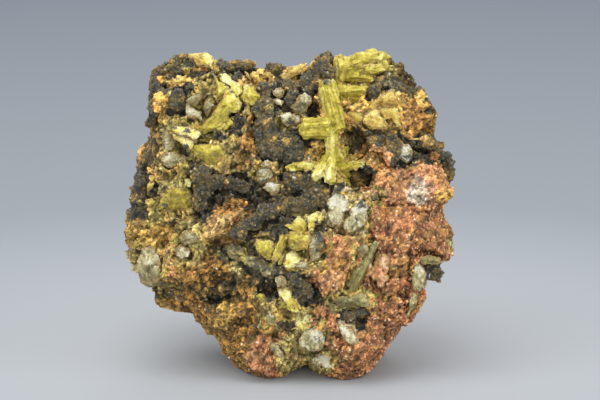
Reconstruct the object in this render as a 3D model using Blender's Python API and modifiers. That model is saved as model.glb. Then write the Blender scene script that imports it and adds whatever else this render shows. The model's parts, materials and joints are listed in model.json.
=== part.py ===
"""Pyromorphite specimen: yellow-green crystals and dark botryoidal crust on a granular matrix.

Features are laid out in millimetres on an upright plane through the middle of the rock, u to the right
and v upward, as seen from a point in front of the rock and a little above it. Each feature is dropped
onto the rock along the line of sight, so its place on the plane is the place where it shows.
"""

import math

import bmesh
import bpy
from mathutils import Matrix, Vector, noise
from mathutils.bvhtree import BVHTree

MM = 0.001
MERGE_DISTANCE = 0.0000005  # in metres: points this close after a cut are one point
SEAT_GAP = 0.34  # left between a crystal or crust and the socket that it sits in
SIGHT_LIFT = math.radians(12)
SIGHT_DISTANCE = 600.0

ROCK_MIDDLE = Vector((0.6, 0.0, 36.4))
FRONT_DEPTH = 21.0
BACK_DEPTH = 23.0
BOXINESS = 2.7
OUTLINE_INSET = 0.35
ROCK_DETAIL = 6  # icosphere subdivisions before the surface is thinned
ROCK_VOXEL = 0.9
ROCK_FACES = 3600
ROUGH_GAP = 0.85  # cleared round every socket before the rock is thinned
LUMP_ROUGHNESS = 0.3
SWELL = ((13.0, 1.5), (5.5, 0.8))  # wavelength and height of the rock's uneven surface
CRUST_THICKNESS = 1.7
CRUST_VOXEL = 0.45
CRUST_FACES_PER_LUMP = 15
BRIDGE_WIDTH = 2.2  # the neck that joins a crust's lump to its nearest neighbour
CHAMFERED_WIDTH = 3.3  # crystals this wide or wider have a chamfered end

TOWARD = Vector((0.0, -math.cos(SIGHT_LIFT), math.sin(SIGHT_LIFT)))
RIGHT = Vector((1.0, 0.0, 0.0))
UP = TOWARD.cross(RIGHT)
EYE = ROCK_MIDDLE + TOWARD * SIGHT_DISTANCE

# The rock's edge on the layout plane, clockwise from the upper left. Below the flat that it rests on,
# the edge is carried on downward so that the flat comes out broad.
OUTLINE = [
    (-33.8, 29.7), (-30.4, 31.1), (-25.9, 32.9), (-20.2, 32.9), (-18.6, 31.3), (-12.4, 31.3),
    (-8.6, 29.7), (-4.3, 30.4), (-1.1, 30.0), (2.2, 30.4), (6.1, 32.8), (9.5, 32.0), (14.6, 32.6),
    (18.7, 33.0), (21.6, 31.7), (23.9, 29.7), (25.2, 27.0), (28.1, 24.3), (29.5, 20.2), (31.5, 17.5),
    (31.9, 12.6), (33.6, 10.3), (33.6, 6.0), (34.0, 1.0), (31.7, -1.8), (33.3, -5.4), (34.9, -9.2),
    (33.3, -11.9), (30.6, -13.8), (29.6, -17.4), (28.0, -20.2), (25.2, -24.2), (23.4, -28.1),
    (20.4, -31.9), (18.6, -34.6), (16.9, -37.4), (14.8, -41.8), (11.4, -44.2), (7.4, -42.0),
    (4.4, -39.0), (1.6, -36.4), (-1.4, -38.6), (-4.4, -41.8), (-7.8, -42.4), (-11.2, -40.4),
    (-14.8, -37.6), (-17.4, -35.2), (-18.6, -31.2), (-22.1, -28.6), (-24.3, -25.4), (-27.6, -23.9), (-32.2, -21.0), (-36.2, -17.8),
    (-38.3, -14.2), (-39.6, -12.8), (-38.5, -10.3), (-39.9, -7.4), (-38.9, -3.5), (-38.0, 1.5),
    (-37.2, 7.0), (-34.9, 11.0), (-33.3, 16.4), (-34.4, 19.8), (-34.0, 25.0),
]
# The same round the back, where the notches and feet die out.
BACK_OUTLINE = [
    (-30.0, 27.0), (-21.0, 31.0), (-8.0, 29.0), (4.0, 31.0), (16.0, 31.5), (24.5, 26.0), (29.5, 16.0),
    (31.5, 4.0), (31.0, -8.0), (27.5, -19.0), (22.5, -30.0), (17.5, -42.0), (4.0, -43.5), (-12.0, -42.5),
    (-18.5, -34.0), (-27.0, -24.0), (-34.5, -16.0), (-36.5, -5.0), (-35.0, 6.0), (-32.0, 17.0),
]

# Lumps that stand out of the rock: u, v, half width, half height, thickness.
ROCK_LUMPS = [
    (25.5, 2.5, 9.0, 6.5, 4.0), (23.0, -8.5, 8.5, 8.0, 5.2), (21.5, -20.0, 6.5, 8.5, 4.6),
    (29.0, -9.5, 5.5, 6.5, 4.0), (12.5, -31.0, 6.5, 6.0, 3.8), (19.0, 3.5, 4.0, 4.5, 3.6),
    (16.9, 10.3, 3.8, 3.4, 3.2), (26.5, 19.0, 4.6, 6.0, 3.0), (24.0, 29.0, 3.0, 3.2, 2.6),
    (-34.5, -7.5, 5.2, 3.6, 3.2), (-30.0, -14.5, 4.6, 4.0, 2.8), (-17.0, -5.5, 6.4, 3.2, 3.0),
    (-23.5, -15.5, 6.0, 3.0, 2.6), (-15.0, -26.0, 4.6, 4.2, 3.0), (-9.5, -34.0, 5.0, 4.2, 3.0),
    (9.8, -10.5, 4.6, 4.4, 2.6), (6.5, -17.5, 4.2, 3.2, 2.4), (-31.0, 21.5, 3.6, 3.0, 2.4),
    (-11.5, 17.5, 2.2, 4.4, 2.4), (-16.5, -1.8, 3.2, 2.4, 2.0), (-2.0, -27.0, 4.2, 4.6, 2.4),
    (-33.0, 2.0, 3.2, 4.0, 2.2), (-22.0, 8.0, 4.4, 3.4, 2.2), (20.5, -4.5, 3.6, 3.2, 3.8),
]
# Hollows: u, v, half width, half height, depth.
ROCK_PITS = [
    (3.6, 20.4, 1.7, 2.7, 4.5), (12.0, 12.2, 3.4, 4.0, 7.0), (13.8, 4.7, 3.2, 2.4, 6.0),
    (11.8, 26.8, 1.9, 1.0, 3.4), (-17.6, -9.6, 5.2, 1.9, 3.2), (-30.6, -9.8, 2.0, 1.6, 2.8),
    (-18.5, -17.6, 2.4, 1.2, 3.0), (-19.2, -22.1, 4.0, 1.6, 4.2), (-13.0, -28.0, 3.2, 1.1, 3.0),
    (-31.0, -19.2, 3.6, 1.0, 2.8), (-30.9, 25.8, 1.3, 1.3, 2.4), (17.0, -17.3, 1.2, 2.6, 3.4),
    (28.4, -12.6, 3.4, 1.3, 3.2), (-15.6, 0.7, 4.6, 1.1, 2.6), (24.5, -1.1, 1.0, 0.9, 2.2),
    (-8.6, -20.5, 2.2, 1.4, 2.2),
]
BREAK_BLOCK = 100.0  # side of the block that a flat break is cut with, wider than the rock
BACK_BREAKS = 11  # flat breaks across the back and sides
BACK_KNOBS = 34  # angular knobs that stand out between them, or notches where they came away

# Crystals: root u, v, tip u, v, width, root and tip distance out of the rock, tip width share.
CRYSTALS = {
    "top_left_crystals": [
        (-24.0, 29.2, -23.4, 32.8, 3.8, -1.6, 0.6, 0.8), (-21.4, 29.2, -21.0, 33.0, 3.8, -1.6, 1.0, 0.8),
        (-19.6, 28.6, -19.0, 31.8, 2.6, -1.6, 1.2, 0.7),
    ],
    "upper_left_spray": [
        (-21.4, 17.0, -13.2, 26.2, 5.2, -0.6, 3.2, 0.82), (-19.6, 19.4, -15.0, 27.6, 4.6, -1.2, 3.8, 0.7),
        (-17.6, 21.4, -17.2, 27.4, 3.2, -1.2, 2.2, 0.6), (-13.4, 20.2, -10.4, 26.0, 3.2, -1.4, 2.2, 0.7),
    ],
    "top_golden_crystals": [
        (-9.8, 25.6, -12.0, 29.2, 2.4, -1.2, 1.4, 0.7), (-9.6, 25.6, -7.4, 29.0, 2.4, -1.2, 1.6, 0.7),
    ],
    "top_golden_patch": [
        (-3.4, 27.4, 1.4, 30.4, 2.8, -1.2, 0.8, 0.8), (-2.8, 29.4, 0.4, 28.6, 2.2, -1.2, 1.0, 0.7),
    ],
    "centre_cross": [
        (9.0, 15.6, 5.8, 27.0, 3.6, 2.2, 4.4, 0.78), (8.0, 15.0, 4.8, 26.2, 2.4, 1.6, 3.6, 0.6),
        (7.0, 8.8, 7.2, 16.8, 3.2, 0.2, 2.6, 0.9), (6.6, 16.4, 0.0, 15.8, 5.0, 1.6, 4.4, 0.86),
        (6.8, 9.6, 3.0, 4.6, 3.2, 0.2, 2.2, 0.6), (7.0, 9.6, 6.6, 3.8, 3.2, 0.2, 2.8, 0.7),
        (7.4, 9.6, 10.8, 5.0, 3.2, 0.2, 2.2, 0.6), (5.0, 7.8, -3.4, 7.4, 2.2, 0.0, 1.8, 0.4),
        (8.4, 7.4, 10.8, 12.2, 2.2, 0.2, 2.0, 0.5), (9.4, 7.0, 14.4, 8.8, 2.2, -0.2, 1.4, 0.6),
    ],
    "upright_behind_cross": [
        (8.2, 22.6, 8.4, 32.4, 2.2, -1.6, 1.0, 0.8), (7.6, 24.4, 15.0, 24.8, 3.0, -1.4, 2.2, 0.5),
    ],
    "top_right_bundle": [
        (9.0, 29.4, 19.6, 32.2, 3.4, -0.6, 2.2, 0.86), (9.2, 28.6, 18.2, 29.4, 3.0, -1.0, 2.4, 0.7),
        (8.6, 30.4, 17.2, 33.6, 2.4, -0.8, 1.2, 0.7), (10.8, 27.8, 16.4, 27.2, 2.4, -1.4, 1.8, 0.6),
    ],
    "right_fringe": [
        (10.6, 16.8, 18.0, 18.6, 3.2, -1.0, 2.2, 0.7), (15.4, 16.4, 17.6, 22.6, 3.0, -1.4, 1.8, 0.7),
        (18.2, 16.2, 20.9, 24.8, 3.4, -1.2, 2.6, 0.6), (20.4, 16.2, 22.2, 21.8, 3.0, -1.4, 1.8, 0.7),
    ],
    "left_middle_crystals": [
        (-28.4, 11.4, -22.6, 16.2, 4.8, -0.8, 2.8, 0.84), (-24.4, 12.4, -17.4, 8.0, 3.8, -1.2, 2.2, 0.7),
    ],
    "left_pale_crystals": [
        (-24.2, 17.6, -24.0, 23.0, 3.6, -1.2, 2.0, 0.8), (-22.2, 18.0, -21.6, 22.8, 2.4, -1.2, 1.2, 0.8),
    ],
    "left_small_crystals": [
        (-29.0, 10.0, -29.5, 14.2, 2.6, -1.4, 1.4, 0.8), (-29.0, 9.4, -25.6, 10.0, 2.4, -1.4, 1.2, 0.8),
    ],
    "left_edge_orange_crystal": [(-34.0, 4.2, -32.4, 5.6, 2.2, -1.2, 0.8, 0.7)],
    "left_edge_green_crystals": [
        (-33.8, 0.4, -33.4, 3.2, 2.4, -1.4, 0.8, 0.9), (-34.6, -1.6, -33.6, 1.0, 2.4, -1.2, 0.9, 0.8),
    ],
    "left_lower_crystals": [
        (-30.4, -2.4, -29.6, 2.6, 2.8, -1.4, 1.6, 0.8), (-28.6, -2.4, -27.6, 2.8, 2.8, -1.4, 1.8, 0.8),
        (-26.8, -2.4, -25.4, 1.8, 2.6, -1.4, 1.4, 0.8),
    ],
    "upper_centre_crystals": [
        (-5.2, 16.2, -1.4, 19.6, 3.2, -1.0, 1.8, 0.8), (-4.8, 18.0, -5.0, 21.8, 2.2, -1.6, 1.6, 0.8),
        (-2.8, 17.4, 1.4, 23.4, 2.8, -1.4, 1.4, 0.8),
    ],
    "pale_crystals_below_spray": [(-5.6, 22.2, -3.8, 24.4, 2.4, -1.4, 1.8, 0.8)],
    "centre_pale_crystals": [
        (-9.4, 3.8, -6.8, 8.8, 3.0, -1.2, 1.8, 0.8), (-9.0, 2.2, -5.0, 3.4, 2.8, -1.4, 1.6, 0.8),
    ],
    "pale_ridge_crystals": [
        (6.8, -4.0, 10.8, 2.2, 3.0, -0.8, 2.4, 0.7), (11.0, -7.2, 13.8, 0.2, 4.0, -1.0, 2.2, 0.7),
        (7.4, -4.8, 12.4, -4.8, 3.0, -1.4, 1.4, 0.8),
    ],
    "lower_centre_crystals": [
        (-2.4, -7.6, 2.8, -4.2, 3.0, -1.0, 2.4, 0.7), (-2.4, -11.4, 1.8, -7.6, 3.8, -1.0, 2.4, 0.86),
        (-3.6, -12.8, 1.4, -14.6, 3.4, -1.0, 2.0, 0.7), (-4.6, -14.0, -5.2, -6.8, 2.4, -1.0, 2.0, 0.6),
        (-9.8, -12.4, -5.8, -9.2, 3.6, -1.2, 1.8, 0.86),
    ],
    "lower_left_crystal": [
        (-35.8, -17.0, -32.6, -11.6, 4.2, -1.0, 2.2, 0.84), (-33.6, -17.0, -32.4, -13.6, 2.8, -1.2, 1.6, 0.8),
    ],
    "lower_left_small_crystals": [
        (-27.6, -14.2, -25.4, -10.6, 2.8, -1.2, 1.6, 0.8), (-26.4, -11.4, -22.8, -7.2, 3.0, -1.2, 1.6, 0.8),
    ],
    "green_prism_long": [
        (11.8, -20.6, 17.2, -9.2, 2.2, -0.4, 2.6, 0.7), (11.0, -19.4, 14.4, -13.6, 1.8, -1.0, 1.6, 0.6),
    ],
    "green_prism_low": [
        (7.6, -22.6, 15.6, -22.8, 2.4, -0.4, 1.8, 0.7), (8.0, -23.2, 13.6, -24.2, 1.8, -1.0, 1.2, 0.6),
    ],
    "right_edge_pale_crystal": [(26.4, -20.2, 27.0, -15.4, 2.8, -1.2, 1.6, 0.8)],
    "right_edge_green_crystal": [(27.4, -14.0, 31.0, -12.6, 2.2, -1.2, 0.8, 0.8)],
    "right_lower_edge_crystal": [(24.2, -26.2, 26.0, -21.8, 2.2, -1.0, 1.2, 0.8)],
    "bottom_crystals": [
        (0.0, -33.0, 4.8, -30.0, 4.2, -1.0, 2.2, 0.8), (1.4, -33.6, 6.6, -35.0, 3.4, -1.4, 1.6, 0.8),
    ],
    "bottom_left_crystal": [(-5.8, -36.0, -3.8, -32.6, 3.0, -1.0, 1.6, 0.8)],
    "lower_yellow_crystals": [
        (-4.4, -24.6, -0.8, -20.4, 3.2, -1.0, 2.2, 0.7), (-2.8, -26.8, 1.0, -25.4, 2.6, -1.4, 1.8, 0.7),
        (-3.8, -26.6, -3.6, -23.0, 2.6, -1.6, 1.0, 0.9),
    ],
    "lower_pale_crystals": [(-7.2, -20.4, -3.8, -17.6, 3.0, -1.2, 1.6, 0.8)],
    "glassy_crystal": [(22.6, 8.4, 24.8, 13.0, 3.6, -0.8, 2.4, 0.8)],
    "pale_plate": [(8.4, -32.0, 12.0, -28.6, 4.0, -1.4, 1.4, 0.8)],
    "spotted_slab": [(3.6, -13.0, 5.2, -7.6, 3.2, -1.0, 1.6, 0.8)],
    "salmon_plate": [(17.4, -19.0, 19.6, -13.2, 3.2, -1.0, 2.6, 0.8)],
}

# Dark crust: lumps of u, v, half width, half height, distance out of the rock.
CRUSTS = {
    "dark_crust_upper_left": [
        (-33.0, 29.0, 2.4, 2.4, 0.0), (-30.8, 29.6, 2.0, 2.0, 0.2), (-32.4, 25.6, 2.0, 2.6, 0.2),
        (-30.6, 23.2, 2.2, 2.2, 0.4), (-27.6, 22.6, 2.6, 3.0, 0.8),
    ],
    "dark_crust_top_left": [(-28.0, 31.0, 2.0, 1.6, 0.2), (-25.9, 31.6, 1.8, 1.4, 0.2)],
    "dark_crust_left_edge": [(-32.8, 20.6, 1.6, 2.2, 0.2), (-33.2, 17.6, 1.8, 2.4, 0.2)],
    "dark_crust_top": [
        (-17.4, 29.8, 2.4, 1.8, 0.3), (-14.4, 30.2, 2.6, 1.7, 0.4), (-11.6, 30.4, 1.8, 1.3, 0.3),
    ],
    "dark_crust_top_notch": [(-6.8, 29.2, 1.8, 1.6, 0.3), (-4.4, 29.6, 1.6, 1.5, 0.3)],
    "dark_ridge_top": [
        (6.4, 32.0, 2.2, 2.0, 0.6), (4.4, 29.4, 2.8, 2.4, 0.8), (2.0, 26.6, 2.6, 2.4, 0.8),
        (6.8, 28.8, 1.9, 2.2, 0.6), (1.8, 23.8, 1.5, 2.2, 0.5),
    ],
    "dark_crust_centre": [
        (-8.4, 24.4, 2.2, 2.6, 0.6), (-8.0, 20.4, 3.0, 2.8, 0.9), (-8.0, 15.8, 3.0, 3.2, 1.0),
        (-6.4, 11.6, 3.6, 3.0, 1.0), (-2.6, 12.6, 3.4, 3.0, 1.0), (-1.2, 9.8, 2.6, 2.2, 0.8),
    ],
    "dark_crust_upper_centre": [(-1.6, 22.6, 2.4, 2.4, 0.6), (-2.2, 25.6, 2.4, 1.8, 0.5)],
    "dark_crust_left_middle": [
        (-22.4, 5.6, 2.6, 2.4, 0.8), (-21.8, 2.0, 2.6, 2.4, 0.8), (-22.4, -1.0, 2.0, 1.8, 0.6),
        (-17.6, 4.0, 2.8, 1.8, 0.8), (-13.2, 3.2, 2.8, 1.8, 0.9),
    ],
    "dark_crust_middle": [
        (-1.6, 4.8, 2.8, 2.1, 0.7), (2.2, 3.8, 3.0, 2.3, 0.9), (4.8, 0.8, 2.8, 2.8, 1.0),
        (1.0, -0.9, 3.0, 2.3, 1.0), (-3.2, -1.2, 3.0, 2.3, 0.9), (-7.2, -2.6, 2.8, 2.1, 0.9),
        (-10.8, -5.0, 2.7, 2.0, 0.9), (-14.0, -7.4, 2.5, 1.8, 0.8),
    ],
    "dark_knobs_left_edge": [(-36.2, 4.0, 1.8, 2.4, 0.2), (-36.4, 6.4, 1.5, 1.7, 0.1)],
    "dark_band_lower": [
        (-14.4, -11.6, 2.6, 1.8, 0.6), (-10.4, -13.6, 2.9, 2.0, 0.8), (-6.2, -16.0, 2.9, 2.0, 0.8),
        (-2.0, -18.0, 2.8, 2.0, 0.9), (1.0, -20.6, 2.6, 2.0, 1.0),
    ],
    "dark_crust_right": [
        (17.4, 12.8, 2.4, 2.2, 0.4), (20.4, 13.0, 2.8, 2.6, 0.6), (20.8, 9.8, 2.2, 2.2, 0.5),
    ],
    "dark_crust_far_right": [
        (28.2, 13.2, 2.6, 2.2, 0.4), (31.0, 11.0, 2.2, 2.6, 0.3), (33.2, 8.6, 1.7, 2.6, 0.0),
        (33.2, 5.6, 1.7, 2.4, 0.0),
    ],
    "dark_knob_top_right": [(18.6, 26.8, 2.2, 1.8, 0.4), (16.6, 24.2, 1.8, 2.0, 0.6)],
    "dark_knob_lower_right": [(30.2, -15.0, 2.1, 1.9, 0.2), (30.6, -17.0, 2.0, 1.9, 0.1)],
    "dark_spot_lower": [(11.0, -26.2, 1.9, 1.6, 0.8), (13.6, -25.0, 1.8, 1.5, 0.8)],
}

COLOURS = {
    "matrix": (0.42, 0.22, 0.11, 1.0),
    "crystal": (0.52, 0.48, 0.08, 1.0),
    "crust": (0.055, 0.06, 0.066, 1.0),
}


def from_sight(u, v, w=0.0):
    """The point that shows at (u, v), w in front of the layout plane."""
    spread = (SIGHT_DISTANCE - w) / SIGHT_DISTANCE
    return ROCK_MIDDLE + RIGHT * (u * spread) + UP * (v * spread) + TOWARD * w


def edge_radius(outline, angle):
    """The distance from the middle to the closed outline in a direction, between its two nearest points."""
    marks = sorted((math.atan2(v, u), math.hypot(u, v)) for u, v in outline)
    before, after = marks[-1], marks[0]
    for mark in marks:
        if mark[0] <= angle:
            before = mark
        else:
            after = mark
            break
    span = (after[0] - before[0]) % math.tau
    share = ((angle - before[0]) % math.tau) / span
    smooth = share * share * (3 - 2 * share)
    return before[1] * (1 - smooth) + after[1] * smooth


def rock_point(direction):
    """A direction from the middle, taken out to the rock's surface. Its z is the depth toward the eye."""
    reach = math.hypot(direction.x, direction.y)
    angle = math.atan2(direction.y, direction.x)
    behind = min(1.0, max(0.0, -direction.z / 0.55))
    radius = edge_radius(OUTLINE, angle) - OUTLINE_INSET
    radius += (edge_radius(BACK_OUTLINE, angle) - radius) * behind
    depth = FRONT_DEPTH if direction.z > 0 else BACK_DEPTH
    size = (reach / radius) ** BOXINESS + (abs(direction.z) / depth) ** BOXINESS
    point = direction * size ** (-1 / BOXINESS)
    swell = sum(height * noise.noise(point / wave) for wave, height in SWELL)
    inward = abs(direction.z) ** 0.5
    return point + direction.normalized() * swell * inward


def new_object(name, mesh_builder, collection, *details):
    """An object whose mesh is filled by mesh_builder(bm, *details), in metres."""
    bm = bmesh.new()
    mesh_builder(bm, *details)
    bmesh.ops.recalc_face_normals(bm, faces=bm.faces)
    mesh = bpy.data.meshes.new(name)
    bm.to_mesh(mesh)
    bm.free()
    made = bpy.data.objects.new(name, mesh)
    collection.objects.link(made)
    return made


def fill_rock(bm):
    """The rock before its lumps and hollows."""
    bmesh.ops.create_icosphere(bm, subdivisions=ROCK_DETAIL, radius=1.0)
    for vert in bm.verts:
        place = rock_point(vert.co)
        vert.co = (ROCK_MIDDLE + RIGHT * place.x + UP * place.y + TOWARD * place.z) * MM


def fill_ellipsoid(bm, middle, radii, frame, detail):
    """An ellipsoid of flat faces, its three radii along the columns of frame."""
    bmesh.ops.create_icosphere(bm, subdivisions=detail, radius=1.0)
    scale = Matrix.Diagonal((*radii, 1.0))
    place = Matrix.Translation(middle) @ frame.to_4x4() @ scale
    bmesh.ops.transform(bm, matrix=Matrix.Scale(MM, 4) @ place, verts=bm.verts)


def fill_lump(bm, middle, radii, frame, detail):
    """An uneven lump: an ellipsoid with its points moved in and out, angular where detail is low."""
    bmesh.ops.create_icosphere(bm, subdivisions=detail, radius=1.0)
    for vert in bm.verts:
        vert.co *= 1 + LUMP_ROUGHNESS * noise.noise(vert.co * 1.5 + middle)
    place = Matrix.Translation(middle) @ frame.to_4x4() @ Matrix.Diagonal((*radii, 1.0))
    bmesh.ops.transform(bm, matrix=Matrix.Scale(MM, 4) @ place, verts=bm.verts)


def fill_block(bm, middle, size, frame):
    """A block with its middle at a point and its sides along the columns of frame."""
    bmesh.ops.create_cube(bm, size=1.0)
    place = Matrix.Translation(middle) @ frame.to_4x4() @ Matrix.Diagonal((*size, 1.0))
    bmesh.ops.transform(bm, matrix=Matrix.Scale(MM, 4) @ place, verts=bm.verts)


def fill_prism(bm, root, tip, width, taper, chamfered):
    """A six-sided prism from root to tip, narrowing to taper, its end chamfered or plain."""
    axis = tip - root
    length = axis.length
    bmesh.ops.create_cone(
        bm, cap_ends=True, segments=6, radius1=width / 2, radius2=width / 2 * taper, depth=length
    )
    if chamfered:
        top = max(bm.faces, key=lambda face: face.calc_center_median().z)
        chamfer = width * taper * 0.16
        bmesh.ops.inset_region(bm, faces=[top], thickness=chamfer)
        bmesh.ops.translate(bm, verts=top.verts, vec=(0.0, 0.0, chamfer * 0.8))
    turn = axis.to_track_quat("Z", "Y").to_matrix().to_4x4()
    place = Matrix.Translation((root + tip) / 2) @ turn
    bmesh.ops.transform(bm, matrix=Matrix.Scale(MM, 4) @ place, verts=bm.verts)


def surface_of(made):
    """The object's surface, in millimetres, for dropping things onto it."""
    verts = [vert.co / MM for vert in made.data.vertices]
    faces = [tuple(face.vertices) for face in made.data.polygons]
    return BVHTree.FromPolygons(verts, faces)


def depth_at(surface, u, v):
    """How far in front of the layout plane the surface shows at (u, v), or at its nearest edge."""
    for step in range(60):
        share = 1.0 - step * 0.01
        aim = (from_sight(u * share, v * share) - EYE).normalized()
        hit = surface.ray_cast(EYE, aim)[0]
        if hit is not None:
            return (hit - ROCK_MIDDLE).dot(TOWARD)
    return 0.0


def evaluated(made):
    """A plain mesh of the object with its modifiers applied, which takes its place."""
    bpy.context.view_layer.update()
    graph = bpy.context.evaluated_depsgraph_get()
    mesh = bpy.data.meshes.new_from_object(made.evaluated_get(graph))
    made.modifiers.clear()
    made.data = mesh
    return made


def boolean(made, other, operation):
    """Joins other to the object, or cuts it out, and leaves a plain mesh."""
    step = made.modifiers.new(operation.lower(), "BOOLEAN")
    step.operation = operation
    step.solver = "EXACT"
    step.object = other
    return evaluated(made)


def remove(made):
    """Deletes a helper object."""
    bpy.data.objects.remove(made)


def largest_body(made):
    """Leaves only the object's largest connected body, and merges the points that a cut leaves together."""
    bm = bmesh.new()
    bm.from_mesh(made.data)
    bmesh.ops.remove_doubles(bm, verts=bm.verts, dist=MERGE_DISTANCE)
    bmesh.ops.dissolve_degenerate(bm, edges=bm.edges, dist=MERGE_DISTANCE)
    bodies = []
    left = set(bm.faces)
    while left:
        body, edge = set(), [left.pop()]
        while edge:
            face = edge.pop()
            body.add(face)
            near = {other for line in face.edges for other in line.link_faces} & left
            left -= near
            edge.extend(near)
        bodies.append(body)
    bodies.sort(key=len)
    loose = [face for body in bodies[:-1] for face in body]
    bmesh.ops.delete(bm, geom=loose, context="FACES")
    bmesh.ops.triangulate(bm, faces=bm.faces)
    bm.to_mesh(made.data)
    bm.free()
    return len(bodies)


def sight_frame():
    """Axes for a feature that faces the eye."""
    return Matrix((RIGHT, UP, TOWARD)).transposed()


def add_front_relief(rock, helpers):
    """Lumps joined to the rock's face, then hollows cut into it."""
    surface = surface_of(rock)
    for u, v, wide, high, thick in ROCK_LUMPS:
        middle = from_sight(u, v, depth_at(surface, u, v) - thick * 0.15)
        lump = new_object("lump", fill_lump, helpers, middle, (wide, high, thick), sight_frame(), 3)
        boolean(rock, lump, "UNION")
        remove(lump)
    surface = surface_of(rock)
    for u, v, wide, high, deep in ROCK_PITS:
        middle = from_sight(u, v, depth_at(surface, u, v))
        pit = new_object("pit", fill_lump, helpers, middle, (wide, high, deep), sight_frame(), 3)
        boolean(rock, pit, "DIFFERENCE")
        remove(pit)


def outward_looks(count, first, last):
    """Directions spread evenly over the back by the golden angle, from straight back to the sides."""
    golden = math.pi * (3 - math.sqrt(5))
    for i in range(count):
        away = first + (last - first) * (i + 0.5) / count
        around = math.sqrt(1 - away * away)
        angle = i * golden
        yield RIGHT * (around * math.cos(angle)) + UP * (around * math.sin(angle)) - TOWARD * away


def add_back_relief(rock, helpers):
    """Flat breaks across the back and sides, then angular knobs and notches."""
    surface = surface_of(rock)
    for i, look in enumerate(outward_looks(BACK_BREAKS, 0.98, 0.3)):
        hit = surface.ray_cast(ROCK_MIDDLE, look)[0]
        tilt = Vector((math.sin(i * 1.7), math.cos(i * 2.9), math.sin(i * 4.1))) * 0.25
        facing = (look + tilt).normalized()
        turn = facing.to_track_quat("Z", "Y").to_matrix()
        middle = hit + facing * (BREAK_BLOCK / 2 - 1.2 - 0.9 * math.sin(i * 2.3))
        block = new_object("break", fill_block, helpers, middle, (BREAK_BLOCK,) * 3, turn)
        boolean(rock, block, "DIFFERENCE")
        remove(block)
    surface = surface_of(rock)
    for i, look in enumerate(outward_looks(BACK_KNOBS, 0.96, 0.02)):
        size = 4.4 + 2.2 * math.sin(i * 2.3)
        turn = look.to_track_quat("Z", "Y").to_matrix() @ Matrix.Rotation(i * 1.3, 3, "Z")
        notch = i % 3 == 1
        middle = surface.ray_cast(ROCK_MIDDLE, look)[0] - look * (0.0 if notch else size * 0.2)
        radii = (size * 0.9, size * 0.5, size * 0.55) if notch else (size * 1.3, size, size * 0.8)
        knob = new_object("knob", fill_lump, helpers, middle, radii, turn, 1)
        boolean(rock, knob, "DIFFERENCE" if notch else "UNION")
        remove(knob)


def cut_flat(rock, helpers):
    """The natural break that the specimen rests on."""
    ground = (BREAK_BLOCK * 2, BREAK_BLOCK * 2, BREAK_BLOCK)
    below = Vector((0.0, 0.0, -BREAK_BLOCK / 2))
    block = new_object("ground", fill_block, helpers, below, ground, Matrix.Identity(3))
    boolean(rock, block, "DIFFERENCE")
    remove(block)


def make_rock(helpers, parts):
    """The rock before it is thinned to flat faces."""
    rock = new_object("matrix", fill_rock, parts)
    add_back_relief(rock, helpers)
    add_front_relief(rock, helpers)
    return rock


def thin_rock(rock, groups, surface, helpers):
    """Clears a rough socket for every group, then thins the rock and cuts it flat underneath."""
    rough = []
    for solids_of, name, rows in groups:
        rough.append(solids_of(name + "_rough", rows, surface, helpers, ROUGH_GAP))
    with_all = rough[0]
    bm = bmesh.new()
    for piece in rough:
        bm.from_mesh(piece.data)
    bm.to_mesh(with_all.data)
    bm.free()
    for piece in rough[1:]:
        remove(piece)
    fused(with_all, CRUST_VOXEL, None)
    boolean(rock, with_all, "DIFFERENCE")
    remove(with_all)
    fused(rock, ROCK_VOXEL, ROCK_FACES)
    cut_flat(rock, helpers)
    largest_body(rock)


def crystal_solids(name, rows, surface, helpers, grow):
    """One prism for each crystal of a group, grow larger all round."""
    made = []
    for u0, v0, u1, v1, width, root_out, tip_out, taper in rows:
        root = from_sight(u0, v0, depth_at(surface, u0, v0) + root_out)
        tip = from_sight(u1, v1, depth_at(surface, u1, v1) + tip_out)
        along = (tip - root).normalized() * grow
        size = (width + 2.3 * grow, taper, width >= CHAMFERED_WIDTH)
        made.append(new_object(name, fill_prism, helpers, root - along, tip + along, *size))
    return join_all(made)


def fill_crust(bm, rows, surface):
    """Flattened lumps, each with a neck to the nearest one before it."""
    middles = []
    for u, v, wide, high, out in rows:
        middle = from_sight(u, v, depth_at(surface, u, v) + out - 0.5)
        lump = bmesh.new()
        fill_ellipsoid(lump, middle, (wide, high, CRUST_THICKNESS), sight_frame(), 2)
        add_to(bm, lump)
        if middles:
            nearest = min(middles, key=lambda other: (other - middle).length)
            neck = bmesh.new()
            fill_prism(neck, nearest, middle, BRIDGE_WIDTH, 1.0, False)
            add_to(bm, neck)
        middles.append(middle)


def add_to(bm, other):
    """Adds another bmesh's faces, and frees it."""
    mesh = bpy.data.meshes.new("piece")
    other.to_mesh(mesh)
    other.free()
    bm.from_mesh(mesh)
    bpy.data.meshes.remove(mesh)


def fused(made, voxel, faces=None):
    """Fuses the object's overlapping shapes into one skin, of about so many triangles if given."""
    fuse = made.modifiers.new("fuse", "REMESH")
    fuse.mode = "VOXEL"
    fuse.voxel_size = voxel * MM
    evaluated(made)
    if faces:
        triangles = sum(len(face.vertices) - 2 for face in made.data.polygons)
        thin = made.modifiers.new("thin", "DECIMATE")
        thin.ratio = faces / triangles
        evaluated(made)
    return made


def crust_solids(name, rows, surface, helpers, grow):
    """A crust of fused lumps, grow larger all round."""
    crust = new_object(name, fill_crust, helpers, rows, surface)
    fused(crust, CRUST_VOXEL, CRUST_FACES_PER_LUMP * len(rows))
    if grow:
        swell(crust, grow * 1.25)
    return crust


def swell(made, grow):
    """Moves every point of the object outward by grow."""
    bm = bmesh.new()
    bm.from_mesh(made.data)
    bm.normal_update()
    moves = [vert.normal * (grow * min(vert.calc_shell_factor(), 1.6) * MM) for vert in bm.verts]
    for vert, move in zip(bm.verts, moves):
        vert.co += move
    bm.to_mesh(made.data)
    bm.free()


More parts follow.
